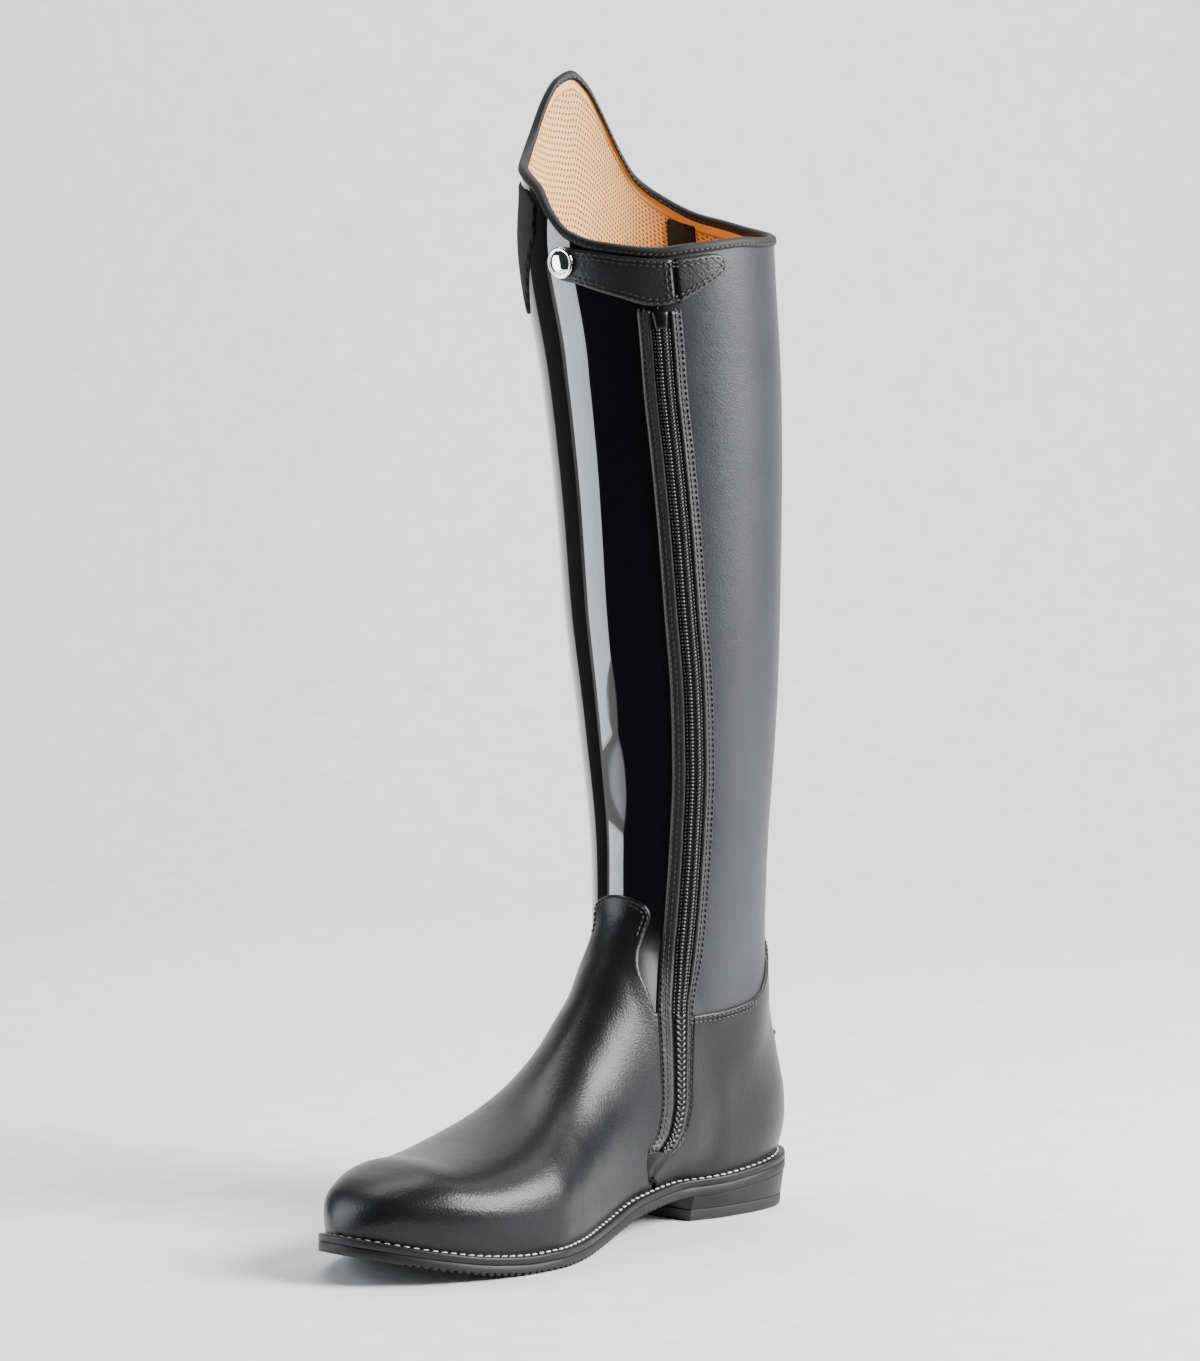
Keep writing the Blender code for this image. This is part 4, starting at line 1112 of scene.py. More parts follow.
@dataclass(frozen=True)
class Plain:
    """A hard or woven finish with a fine speckle."""

    name: str
    colour: tuple[float, float, float]
    roughness: float
    metallic: float = 0.0
    speckle: float = 0.0008
    depth: float = 0.00006
    level: float = 0.5

    def make(self) -> bpy.types.Material:
        """Make the material."""
        shade = Shade(self.name, Metallic=self.metallic, Specular_IOR_Level=self.level)
        cloud = shade.noise(0.02, 3.0)
        fine = shade.noise(self.speckle, 2.0)
        lighter = tuple(min(1.0, part * 1.25) for part in self.colour)
        shade.feed("Base Color", shade.mix(cloud, self.colour, lighter))
        shade.feed("Roughness", cloud * self.roughness * 0.2 + self.roughness * 0.9)
        return shade.relief(fine, self.depth)


@dataclass(frozen=True)
class Stitch:
    """Step between small pieces along a line, and the length, width and height of each."""

    pitch: float
    size: Size


class Repeats:
    """Geometry Nodes tree that sets a small piece at even steps along seam lines."""

    SEGMENTS, RINGS = 8, 5
    INPUTS = {"Pitch": "Float", "Piece": "Object", "Finish": "Material", "Slant": "Float"}
    NODES = {
        "given": "NodeGroupInput", "result": "NodeGroupOutput", "curve": "GeometryNodeMeshToCurve",
        "even": "GeometryNodeResampleCurve", "outward": "GeometryNodeInputNamedAttribute",
        "upright": "FunctionNodeAlignRotationToVector", "ahead": "FunctionNodeAlignRotationToVector",
        "tangent": "GeometryNodeInputTangent", "lean": "FunctionNodeRotateRotation",
        "turn": "FunctionNodeAxisAngleToRotation", "info": "GeometryNodeObjectInfo",
        "place": "GeometryNodeInstanceOnPoints", "real": "GeometryNodeRealizeInstances",
        "dress": "GeometryNodeSetMaterial",
    }
    SETTINGS = (
        ("even", "mode", "LENGTH"), ("outward", "data_type", "FLOAT_VECTOR"), ("upright", "axis", "Z"),
        ("ahead", "axis", "X"), ("ahead", "pivot_axis", "Z"), ("lean", "rotation_space", "LOCAL"),
    )
    LINKS = (
        "given.Lines > curve.Mesh", "curve.Curve > even.Curve", "given.Pitch > even.Length",
        "outward.Attribute > upright.Vector", "upright.Rotation > ahead.Rotation",
        "tangent.Tangent > ahead.Vector", "given.Slant > turn.Angle", "ahead.Rotation > lean.Rotation",
        "turn.Rotation > lean.Rotate By", "given.Piece > info.Object", "even.Curve > place.Points",
        "info.Geometry > place.Instance", "lean.Rotation > place.Rotation", "place.Instances > real.Geometry",
        "real.Geometry > dress.Geometry", "given.Finish > dress.Material", "dress.Geometry > result.Pieces",
    )

    def __init__(self) -> None:
        """Build the tree with its named inputs."""
        self.tree = bpy.data.node_groups.new("pieces_along_seams", "GeometryNodeTree")
        face = self.tree.interface
        face.new_socket("Lines", in_out="INPUT", socket_type="NodeSocketGeometry")
        self.sockets = {name: face.new_socket(name, in_out="INPUT", socket_type="NodeSocket" + kind).identifier
                        for name, kind in self.INPUTS.items()}
        face.new_socket("Pieces", in_out="OUTPUT", socket_type="NodeSocketGeometry")
        nodes = {name: self.tree.nodes.new(kind) for name, kind in self.NODES.items()}
        for name, setting, value in self.SETTINGS:
            setattr(nodes[name], setting, value)
        nodes["outward"].inputs["Name"].default_value = "outward"
        nodes["turn"].inputs["Axis"].default_value = (0, 0, 1)
        for link in self.LINKS:
            (start, output), (end, socket) = (part.split(".") for part in link.split(" > "))
            self.tree.links.new(nodes[start].outputs[output], nodes[end].inputs[socket])

    def bead(self, name: str, size: Size) -> bpy.types.Object:
        """Make the small rounded piece that is repeated.

        Args:
            name: its name.
            size: its length, width and height.

        Returns:
            The piece, not linked to the scene.
        """
        round_it = [2 * math.pi * i / self.SEGMENTS for i in range(self.SEGMENTS)]
        down = [math.pi * i / self.RINGS for i in range(1, self.RINGS)]
        verts = [(1.0, 0.0, 0.0)]
        verts += [(math.cos(tilt), math.sin(tilt) * math.cos(turn), math.sin(tilt) * math.sin(turn))
                  for tilt in down for turn in round_it]
        verts += [(-1.0, 0.0, 0.0)]
        last, faces = len(verts) - 1, []
        for i in range(self.SEGMENTS):
            k = (i + 1) % self.SEGMENTS
            column = [(1 + ring * self.SEGMENTS + i, 1 + ring * self.SEGMENTS + k) for ring in range(len(down))]
            faces.append((0, *column[0]))
            faces += [(a, c, d, b) for (a, b), (c, d) in zip(column, column[1:])]
            faces.append((last, *reversed(column[-1])))
        mesh = bpy.data.meshes.new(name)
        points = [tuple(part / 2 * full for part, full in zip(vert, size)) for vert in verts]
        mesh.from_pydata(points, [], faces)
        return bpy.data.objects.new(name, mesh)

    @staticmethod
    def lines(name: str, rows: Sequence["SeamRow"]) -> bpy.types.Object:
        """Make a mesh of edges along the rows, which keeps the direction out of the leather.

        Args:
            name: its name.
            rows: the rows.

        Returns:
            The object, linked to the scene.
        """
        verts, edges, outward = [], [], []
        for row in rows:
            start, count = len(verts), len(row.points)
            verts += row.points.tolist()
            outward += row.outward.tolist()
            edges += [(start + i, start + i + 1) for i in range(count - 1)]
            if row.closed:
                edges.append((start + count - 1, start))
        mesh = bpy.data.meshes.new(name)
        mesh.from_pydata(verts, edges, [])
        layer = mesh.attributes.new("outward", "FLOAT_VECTOR", "POINT")
        layer.data.foreach_set("vector", np.array(outward, np.float32).ravel())
        obj = bpy.data.objects.new(name, mesh)
        bpy.context.scene.collection.objects.link(obj)
        return obj

    def set(self, name: str, rows: Sequence["SeamRow"], stitch: Stitch, finish: bpy.types.Material,
            slant: float = 0.0) -> bpy.types.Object:
        """Set a small rounded piece along rows.

        Args:
            name: the finished piece's name.
            rows: the lines that the pieces follow.
            stitch: their step and size.
            finish: their material.
            slant: turn of each piece across its line, in radians.

        Returns:
            All the pieces as one plain mesh.
        """
        piece = self.bead(name + "_bead", stitch.size)
        obj = self.lines(name, rows)
        modifier = obj.modifiers.new("Repeats", "NODES")
        modifier.node_group = self.tree
        for key, value in (("Pitch", stitch.pitch), ("Piece", piece), ("Finish", finish), ("Slant", slant)):
            modifier[self.sockets[key]] = value
        graph = bpy.context.evaluated_depsgraph_get()
        made = bpy.data.meshes.new_from_object(obj.evaluated_get(graph))
        obj.modifiers.clear()
        obj.data = made
        made.name = name
        made.polygons.foreach_set("use_smooth", [True] * len(made.polygons))
        bpy.data.objects.remove(piece)
        return obj


@dataclass
class SeamRow:
    """A line just above the leather, with the direction out of it at each point."""

    points: Array
    outward: Array
    closed: bool = False


def seam(line: Array, aside: float, height: float, closed: bool = False) -> SeamRow:
    """Lay a stitching row beside a line on the last.

    Args:
        line: points on the last.
        aside: distance to the left of the line, seen from outside.
        height: height above the last.
        closed: whether the line is a loop.

    Returns:
        The row.
    """
    tangent = np.gradient(line, axis=0)
    if closed:
        tangent = np.roll(line, -1, axis=0) - np.roll(line, 1, axis=0)
    tangent /= np.linalg.norm(tangent, axis=1, keepdims=True) + 1e-12
    points = line + np.cross(Last.normals(line), tangent) * aside
    for _ in range(3):
        outward = Last.normals(points)
        points = points - outward * Last.field(*points.T)[:, None] * 0.8
    return SeamRow(points + outward * height, outward, closed)


def rounded(corners: Array, each: int = 8) -> Array:
    """Smooth open curve through corners, with some points for each stretch.

    Args:
        corners: the corners.
        each: points for each stretch.

    Returns:
        Points along the curve.
    """
    corners = np.asarray(corners, float)
    padded = np.vstack([2 * corners[0] - corners[1], corners, 2 * corners[-1] - corners[-2]])
    steps = np.linspace(0, 1, each, endpoint=False)[:, None]
    parts = []
    for a, b, c, d in zip(padded, padded[1:], padded[2:], padded[3:]):
        parts.append(0.5 * (2 * b + (c - a) * steps + (2 * a - 5 * b + 4 * c - d) * steps ** 2
                            + (3 * b - a - 3 * c + d) * steps ** 3))
    return np.vstack([*parts, corners[-1:]])


def beside_zip(offsets: Array, levels: Array) -> Array:
    """Points at distances round the leg from the zip's middle, a row for each height.

    Args:
        offsets: the distances, above 0 behind the zip.
        levels: the heights.

    Returns:
        The points.
    """
    bearings = ZIP_BEARING(levels)[:, None]
    turn = math.radians(4)
    ahead, behind = (Last.on_leg(bearings + way * turn, levels[:, None]) for way in (1, -1))
    speed = np.linalg.norm(ahead - behind, axis=-1) / (2 * turn)
    return Last.on_leg(bearings + offsets / speed, levels[:, None])


class Finishes:
    """Every finish on the boot, made once."""

    def __init__(self) -> None:
        """Make them all."""
        self.calf = Leather("foot_calf", (0.0050, 0.0052, 0.0057), 0.33, coat=0.03, level=0.32).make()
        self.matte = Leather("shaft_calf", (0.022, 0.0225, 0.0250), 0.43, coat=0.05, level=0.45).make()
        self.patent = Patent().make()
        self.strap = Leather("strap_calf", (0.012, 0.012, 0.013), 0.44, grain=0.0016, depth=0.0002,
                             coat=0.1).make()
        self.elastic = Knit().make()
        self.lining = Lining().make()
        self.rubber = Plain("black_rubber", (0.011, 0.011, 0.012), 0.48, level=0.32).make()
        self.lift = Plain("top_lift_rubber", (0.013, 0.013, 0.014), 0.7).make()
        self.welt = Plain("welt_edge", (0.009, 0.009, 0.010), 0.44, speckle=0.0012, level=0.34).make()
        self.board = Leather("insole_leather", (0.50, 0.27, 0.12), 0.6).make()
        self.tape = Plain("zip_tape_weave", (0.006, 0.006, 0.006), 0.9, speckle=0.0005, depth=0.0002).make()
        self.coil = Plain("black_nylon", (0.020, 0.020, 0.021), 0.22, level=0.9).make()
        self.chrome = Plain("bright_chrome", (0.86, 0.86, 0.88), 0.05, metallic=1.0, depth=0.00001).make()
        self.slider = Plain("blackened_metal", (0.035, 0.035, 0.037), 0.38, metallic=1.0).make()
        self.pale_thread = Plain("pale_thread", (0.60, 0.60, 0.58), 0.62, depth=0.0002).make()
        self.dark_thread = Plain("dark_thread", (0.010, 0.010, 0.011), 0.42, depth=0.0002, level=0.7).make()
        self.binding = Plain("binding_edge", (0.006, 0.006, 0.0065), 0.62, level=0.4).make()


class Bands:
    """Where the skin's points lie round the leg, for pieces drawn by bearing and height."""

    def __init__(self, skin: Skin) -> None:
        """Work out the bearings once."""
        x, y, self.z = np.moveaxis(skin.points, -1, 0)
        ahead = Last.axis(self.z) - y
        self.bearing = np.arctan2(x, ahead)
        self.reach = np.hypot(x, ahead)

    def beyond_zip(self) -> Array:
        """Distance behind the zip's middle."""
        return (self.bearing - ZIP_BEARING(self.z)) * self.reach

    def beyond_seam(self) -> Array:
        """Distance behind the outer side seam."""
        return (math.radians(OUTER_SEAM) - self.bearing) * self.reach

    def inside(self, edge: Rows) -> Array:
        """Distance inside a piece whose rows hold a bearing and two heights.

        Args:
            edge: the rows.

        Returns:
            A distance for each of the skin's points.
        """
        radius = CALF_WIDTH / 2
        rows = np.array(edge) * (math.radians(1) * radius, SHAFT_HEIGHT, SHAFT_HEIGHT)
        low = rounded(rows[:, [0, 1]], 4)
        high = rounded(rows[:, [0, 2]], 4)
        places = np.stack([self.bearing * radius, self.z], -1)
        return inside_outline(places, np.vstack([low, high[::-1]]))


def edge_line(edge: Rows, column: int) -> Array:
    """Points on the leg along the lower (1) or upper (2) edge of a piece."""
    rows = rounded(np.array(edge)[:, [0, column]])
    return Last.on_leg(np.radians(rows[:, 0]), rows[:, 1] * SHAFT_HEIGHT)


def halving(count: int) -> Array:
    """Shares from 0 to 1, closer together at both ends."""
    return (1 - np.cos(np.linspace(0, math.pi, count))) / 2


def layered(layers: Sequence[Array]) -> Shape:
    """Join layers of the sole, with strips across the first and the last.

    Args:
        layers: points of each, down its inner half and back up its outer half.

    Returns:
        The points and faces.
    """
    sections = np.array(layers)
    verts, faces = swept(sections)
    size = sections.shape[1]
    faces = [face for face in faces if len(face) == 4]
    for layer in (0, len(layers) - 1):
        for i in range(size // 2 - 1):
            a, b = layer * size + i, layer * size + i + 1
            c, d = layer * size + size - 2 - i, layer * size + size - 1 - i
            faces.append((a, b, c, d) if layer else (d, c, b, a))
    return verts, faces


def halves(widths: Sequence[Array], y: Array, z: Array) -> Array:
    """Points down the inner half of an outline and back up its outer half."""
    return np.vstack([np.column_stack([widths[0], y, z]), np.column_stack([-widths[1], y, z])[::-1]])


@dataclass
class SubAssembly:
    """What every sub-assembly of the boot is made with."""

    skin: Skin
    bands: Bands
    finishes: Finishes
    repeats: Repeats

    def solid(self, name: str, shape: Shape, finish: bpy.types.Material, slot: Slot, node: str) -> None:
        """Make a closed piece with its faces turned outwards, parent it to the root body and hide the imported
        node that it stands for.
        """
        report(outward_faces(mesh_object(name, *shape, finish)), slot, node)

    def sewn(self, name: str, rows: Sequence[SeamRow], stitch: Stitch, slot: Slot,
             finish: bpy.types.Material | None = None, slant: float = 0.0) -> None:
        """Set small pieces along rows, dark thread unless a finish is given, and parent them to the root body.
        """
        report(self.repeats.set(name, rows, stitch, finish or self.finishes.dark_thread, slant), slot)


@dataclass
class Sole(SubAssembly):
    """Welt, outsole, heel and insole."""

    welt_points: int = 420
    welt_insets: tuple[float, ...] = (0.0007, 0.0002, 0.0, 0.0, 0.0003, 0.0125, 0.0125, 0.0052, 0.0036, 0.0015)
    welt_levels: tuple[float, ...] = (1.0, 0.94, 0.78, 0.14, 0.0, 0.0, 0.97, 1.0, 0.93, 1.0)
    stitch: Stitch = Stitch(0.0043, (0.0036, 0.00115, 0.0009))
    stitch_inset: float = 0.0031
    stitch_lift: float = 0.00015
    sole_points: int = 1200
    sole_insets: tuple[float, ...] = (0.0006, 0.0, 0.0, 0.0, 0.0006, 0.0030, 0.0040)
    tread_ends: tuple[float, float] = (0.055, -0.137)
    tread_fades: tuple[float, float] = (0.01, 0.008)
    rib_pitch: float = 0.0038
    rib_share: float = 0.45
    notch: float = 0.0011
    heel_points: int = 160
    heel_layers: tuple[float, ...] = (0.0, 0.06, 0.12, 0.5, 0.88, 0.94, 1.0)
    heel_breast: float = HALF - HEEL_LENGTH
    heel_round: float = 0.0004
    step: float = 0.0006
    taper: float = 0.0026
    sock_points: int = 200
    sock_play: float = 0.0012
    sock_layers: tuple[tuple[float, float], ...] = ((0.0, 0.0), (0.0, 0.0022), (0.0006, 0.0028))

    def outline(self, inset: float, count: int) -> Array:
        """Points round the sole's outline, drawn in by inset, starting at the heel on the inner side.

        Args:
            inset: how far it is drawn in.
            count: how many points.

        Returns:
            The points, as x and y.
        """
        turns = np.linspace(0, 2 * math.pi, count, endpoint=False)
        share = (1 - np.cos(turns)) / 2
        inner, outer = half_width(share, Side.INNER, inset), half_width(share, Side.OUTER, inset)
        x = np.where(np.sin(turns) >= 0, inner, -outer)
        return np.stack([x, HALF - inset - share * (SOLE_LENGTH - 2 * inset)], -1)

    def welt(self) -> None:
        """Strip round the foot with softly rounded edges and a wheeled top."""
        flat = [self.outline(inset, self.welt_points) for inset in self.welt_insets]
        base = underside(flat[0][:, 1]) + OUTSOLE_THICKNESS
        rings = [np.column_stack([spot, base + share * WELT_THICKNESS])
                 for spot, share in zip(flat, self.welt_levels)]
        shape = swept(np.stack(rings, axis=1), True)
        self.solid("welt_strip", shape, self.finishes.welt, Slot.WELT, "welt")

    def stitches(self) -> None:
        """Pale welt stitches close to the upper."""
        flat = self.outline(self.stitch_inset, 700)
        tops = np.column_stack([flat, feather(flat[:, 1]) + self.stitch_lift])
        row = SeamRow(tops, np.tile([0, 0, 1.0], (len(flat), 1)), True)
        self.sewn("welt_stitching", [row], self.stitch, Slot.WELT, self.finishes.pale_thread)

    def outsole(self) -> None:
        """Rubber sole with a notched tread edge under the forefoot."""
        count, size = self.sole_points, len(self.sole_insets)
        flat = [self.outline(inset, count) for inset in self.sole_insets]
        edge = self.outline(0.0, count)
        y = edge[:, 1]
        run = np.concatenate([[0], np.cumsum(np.linalg.norm(np.diff(edge, axis=0), axis=1))])
        rear, front = self.tread_ends
        fade_rear, fade_front = self.tread_fades
        tread = np.clip((rear - y) / fade_rear, 0, 1) * np.clip((y - front) / fade_front, 0, 1)
        cut = (np.cos(run * 2 * math.pi / self.rib_pitch) > self.rib_share) * tread * self.notch
        base = underside(y)
        top = base + OUTSOLE_THICKNESS - TOUCH
        levels = (top, top - 0.0006, base + 0.0016, base + 0.0004 + cut, base + cut, base + cut, base)
        sections = np.stack([np.column_stack([spot, z]) for spot, z in zip(flat, levels)], axis=1)
        verts, faces = swept(sections, True)
        last = size - 1
        faces = [face for face in faces if {face[0] % size, face[1] % size} != {last, 0}]
        for column in (0, last):
            for i in range(count // 2):
                spots = (i, i + 1, (count - i - 1) % count, (count - i) % count)
                face = tuple(dict.fromkeys(spot * size + column for spot in spots))
                if len(face) > 2:
                    faces.append(face[::-1] if column else face)
        self.solid("rubber_outsole", (verts, faces), self.finishes.rubber, Slot.RUBBER, "outsole")

    def heel(self) -> None:
        """Low heel in two courses, straight across the breast."""
        inner, outer = self.step, self.taper
        for name, node, low, high, finish, margins in (
            ("heel_stack", "heel_block", LIFT_THICKNESS, None, self.finishes.rubber, (inner, outer)),
            ("heel_top_piece", "heel_lift", 0.0, LIFT_THICKNESS, self.finishes.lift, (outer, outer + inner)),
        ):
            y = HALF - margins[0] - halving(self.heel_points) * (HALF - margins[0] - self.heel_breast)
            layers = []
            for part in self.heel_layers:
                edge = self.heel_round * (max(0.0, abs(part - 0.5) * 2 - 0.76) / 0.24) ** 2
                inset = margins[0] + (margins[1] - margins[0]) * part + edge
                place = np.clip(y, self.heel_breast + edge, HALF - inset)
                widths = [np.maximum(half_width(along(place), side) - inset, 0.0) for side in Side]
                top = underside(place) - TOUCH if high is None else np.full_like(place, high)
                z = top + (low - top) * part
                layers.append(halves(widths, place, z))
            self.solid(name, layered(layers), finish, Slot.RUBBER, node)

    def insole(self) -> None:
        """Sock over the insole board."""
        inset = UPPER_INSET + WALL + self.sock_play
        y = HALF - inset - halving(self.sock_points) * (SOLE_LENGTH - 2 * inset)
        layers = []
        for edge, lift in self.sock_layers:
            widths = [np.maximum(half_width(along(y, inset), side, inset) - edge, 0) for side in Side]
            layers.append(halves(widths, y, feather(y) + CLEARANCE + lift))
        self.solid("insole_sock", layered(layers), self.finishes.board, Slot.INSOLE, "insole")

    def build(self) -> None:
        """Build the whole sole."""
        self.welt()
        self.stitches()
        self.outsole()
        self.heel()
        self.insole()


@dataclass
class Shaft(SubAssembly):
    """Patent front, matte rear and the lining behind both."""

    under: float = -0.0012
    opening_fade: float = 0.004
    closing_fade: float = 0.002
    seam_levels: tuple[float, float] = (0.225, 1.1)
    seam_aside: float = 0.0022
    stitch: Stitch = Stitch(0.0032, (0.0026, 0.0007, 0.0006))
    elastic_depths: tuple[float, float] = (0.0002, 0.0010)

    def panels(self) -> None:
        """Outer leather, parted by the zip and by the outer side seam."""
        behind_zip, behind_seam = self.bands.beyond_zip(), self.bands.beyond_seam()
        level = self.bands.z / SHAFT_HEIGHT
        opened = np.clip((level - ZIP_FOOT) / self.opening_fade, 0, 1)
        opened = opened * np.clip((ZIP_TOP + 0.0005 - level) / self.closing_fade, 0, 1)
        room = ZIP_GAP / 2 * opened
        front = np.minimum(-behind_zip - room, -behind_seam)
        rear = np.maximum(behind_zip - room, behind_seam)
        panel = Panel("patent_shaft_front", self.under, 0.0).build(self.skin, front, self.finishes.patent)
        report(panel, Slot.SHAFT, "upper")
        panel = Panel("matte_shaft_rear", self.under, 0.0).build(self.skin, rear, self.finishes.matte)
        report(panel, Slot.SHAFT)

    def side_seam(self) -> None:
        """Two rows of stitches along the outer side seam."""
        levels = np.linspace(*self.seam_levels, 200) * SHAFT_HEIGHT
        line = Last.on_leg(np.full_like(levels, math.radians(OUTER_SEAM)), levels)
        rows = [seam(line, side * self.seam_aside, THREAD_LIFT) for side in (-1, 1)]
        self.sewn("side_seam_stitching", rows, self.stitch, Slot.SHAFT)

    def lining(self) -> None:
        """Perforated lining on the inside, on every third ring and second point of the skin."""
        inner = Skin(self.skin.points[::-3][::-1, ::2], self.skin.outward[::-3][::-1, ::2])
        points = inner.at(-WALL)
        flat = inner.flat()
        rings, columns = points.shape[:2]
        index = np.arange(rings * columns).reshape(rings, columns)
        right = np.roll(index, -1, axis=1)
        faces = np.stack([index[:-1], index[1:], right[1:], right[:-1]], -1).reshape(-1, 4)
        obj = mesh_object("perforated_lining", points.reshape(-1, 3), faces, self.finishes.lining,
                          flat.reshape(-1, 2))
        depth = obj.data.attributes.new("below_rim", "FLOAT", "POINT")
        depth.data.foreach_set("value", (flat[-1:, :, 1] - flat[..., 1]).astype(np.float32).ravel())
        report(obj, Slot.SHAFT)

    def elastic_inside(self) -> None:
        """The elastic that shows on the inside."""
        inside = self.bands.inside(REAR_GUSSET_EDGE)
        shallow, deep = (-WALL - depth for depth in self.elastic_depths)
        strip = Panel("elastic_inside", shallow, deep).build(self.skin, inside, self.finishes.elastic)
        strip.data.flip_normals()
        report(strip, Slot.ELASTIC)

    def build(self) -> None:
        """Build panels, seam and lining."""
        self.panels()
        self.side_seam()
        self.lining()
        self.elastic_inside()


@dataclass
class FootLeather(SubAssembly):
    """Vamp, heel counter and spur rest."""

    thickness: float = CLEARANCE + OVERLAY
    floor: float = -0.01
    edge_roll: float = 0.0013
    seam_play: float = 0.0006
    foot_width: float = 0.2
    rows_in: tuple[float, float] = (0.0015, 0.0034)
    seam_aside: float = 0.0022
    seam_levels: tuple[float, float] = (0.075, 0.215)
    counter_front: float = 0.052
    stitch: Stitch = Stitch(0.0027, (0.0023, 0.0009, 0.0008))
    spur_level: float = 0.176
    spur_size: Size = (0.038, 0.0034, 0.0052)
    spur_hook: float = 0.35

    def beside(self, offset: float, top: float) -> Array:
        """Side-view points beside the zip, from the floor up.

        Args:
            offset: distance behind the zip's middle.
            top: height of the last point.

        Returns:
            The points, as y and z.
        """
        levels = np.linspace(0.045 * SHAFT_HEIGHT, top, 60)
        share = (levels / SHAFT_HEIGHT - ZIP_PATCH_FOOT) / (ZIP_FOOT - ZIP_PATCH_FOOT)
        widths = self.foot_width + (1 - self.foot_width) * np.clip(share, 0, 1)
        line = beside_zip(offset * widths[:, None], levels)[:, 0, 1:]
        return np.vstack([[(line[0, 0], self.floor)], line])

    def outlines(self) -> dict[str, tuple[Array, Array]]:
        """Side-view outlines of the inner and outer half of each piece."""
        half_gap = ZIP_GAP / 2 + ZIP_FACING - 0.0005
        far, cut, floor = SOLE_LENGTH, SIDE_SEAM * SOLE_LENGTH, self.floor
        behind = cut + self.seam_play
        scallop, tail = rounded(side_view(VAMP_EDGE)), rounded(side_view(COUNTER_EDGE))
        front, rear = self.beside(-half_gap, scallop[0, 1]), self.beside(half_gap, tail[0, 1])
        top, peak = (-far, scallop[-1, 1]), (far, tail[-1, 1])
        start = tail[tail[:, 0] > behind]
        vamp_inner = np.vstack([[(-far, floor)], front, scallop, [top]])
        vamp_outer = np.vstack([[(-far, floor), (cut, floor), (cut, scallop[0, 1])], scallop, [top]])
        counter_inner = np.vstack([[(far, floor), peak], tail[::-1], rear[::-1]])
        counter_outer = np.vstack([[(far, floor), peak], start[::-1], [(behind, start[0, 1]), (behind, floor)]])
        return {"vamp": (vamp_inner, vamp_outer), "heel_counter": (counter_inner, counter_outer)}

    def pieces(self) -> None:
        """Cut vamp and counter."""
        places = self.skin.points[..., 1:]
        inner = self.skin.points[..., 0] >= 0
        for name, (near, far) in self.outlines().items():
            inside = np.where(inner, inside_outline(places, near), inside_outline(places, far))
            panel = Panel(f"calf_{name}", 0.0, self.thickness, self.edge_roll)
            report(panel.build(self.skin, inside, self.finishes.calf), Slot.FOOT, name)

    def stitches(self) -> None:
        """Double rows inside the edges of both pieces and along the side seam."""
        height = self.thickness + THREAD_LIFT
        scallop = rounded(side_view(VAMP_EDGE))
        scallop = scallop[scallop[:, 0] > FRONT_AT(scallop[:, 1]) + 0.0008]
        vamp = np.vstack([Last.on_side(*scallop.T, Side.INNER), Last.on_side(*scallop.T, Side.OUTER)[::-1]])
        tail = rounded(side_view(COUNTER_EDGE))
        tail = tail[tail[:, 0] < BACK_AT(tail[:, 1]) - 0.003]
        outer = tail[tail[:, 0] > self.counter_front]
        counter = np.vstack([Last.on_side(*tail.T, Side.INNER), Last.on_side(*outer.T, Side.OUTER)[::-1]])
        levels = np.linspace(*self.seam_levels, 40) * SHAFT_HEIGHT
        down = Last.on_side(np.full_like(levels, SIDE_SEAM * SOLE_LENGTH), levels, Side.OUTER)
        rows = [seam(vamp, aside, height) for aside in self.rows_in]
        rows += [seam(counter, -aside, height) for aside in self.rows_in]
        rows += [seam(down, aside, height) for aside in (-self.seam_aside, self.seam_aside)]
        self.sewn("foot_stitching", rows, self.stitch, Slot.FOOT)

    def spur_rest(self) -> None:
        """Small pointed nub across the back seam."""
        width, deep, tall = self.spur_size
        level = self.spur_level * SHAFT_HEIGHT
        base = CLEARANCE * 2 + OVERLAY + 1e-4
        turns = np.linspace(0, math.pi, 13)
        sections = []
        for share in np.linspace(-1, 1, 33):
            size = math.sqrt(max(1 - share ** 2, 0.0004))
            bearing = math.pi - share * width / 2 / (0.4 * BALL_WIDTH)
            points = Last.on_leg(np.full(len(turns), bearing), level + np.cos(turns) * tall / 2 * size)
            hook = np.sin(turns) * (1 + self.spur_hook * np.cos(turns))
            sections.append(points + Last.normals(points) * (base + deep * size * hook)[:, None])
        self.solid("spur_nub", swept(np.array(sections)), self.finishes.strap, Slot.STRAP, "spur_rest")

    def build(self) -> None:
        """Build the pieces and their stitching."""
        self.pieces()
        self.stitches()
        self.spur_rest()


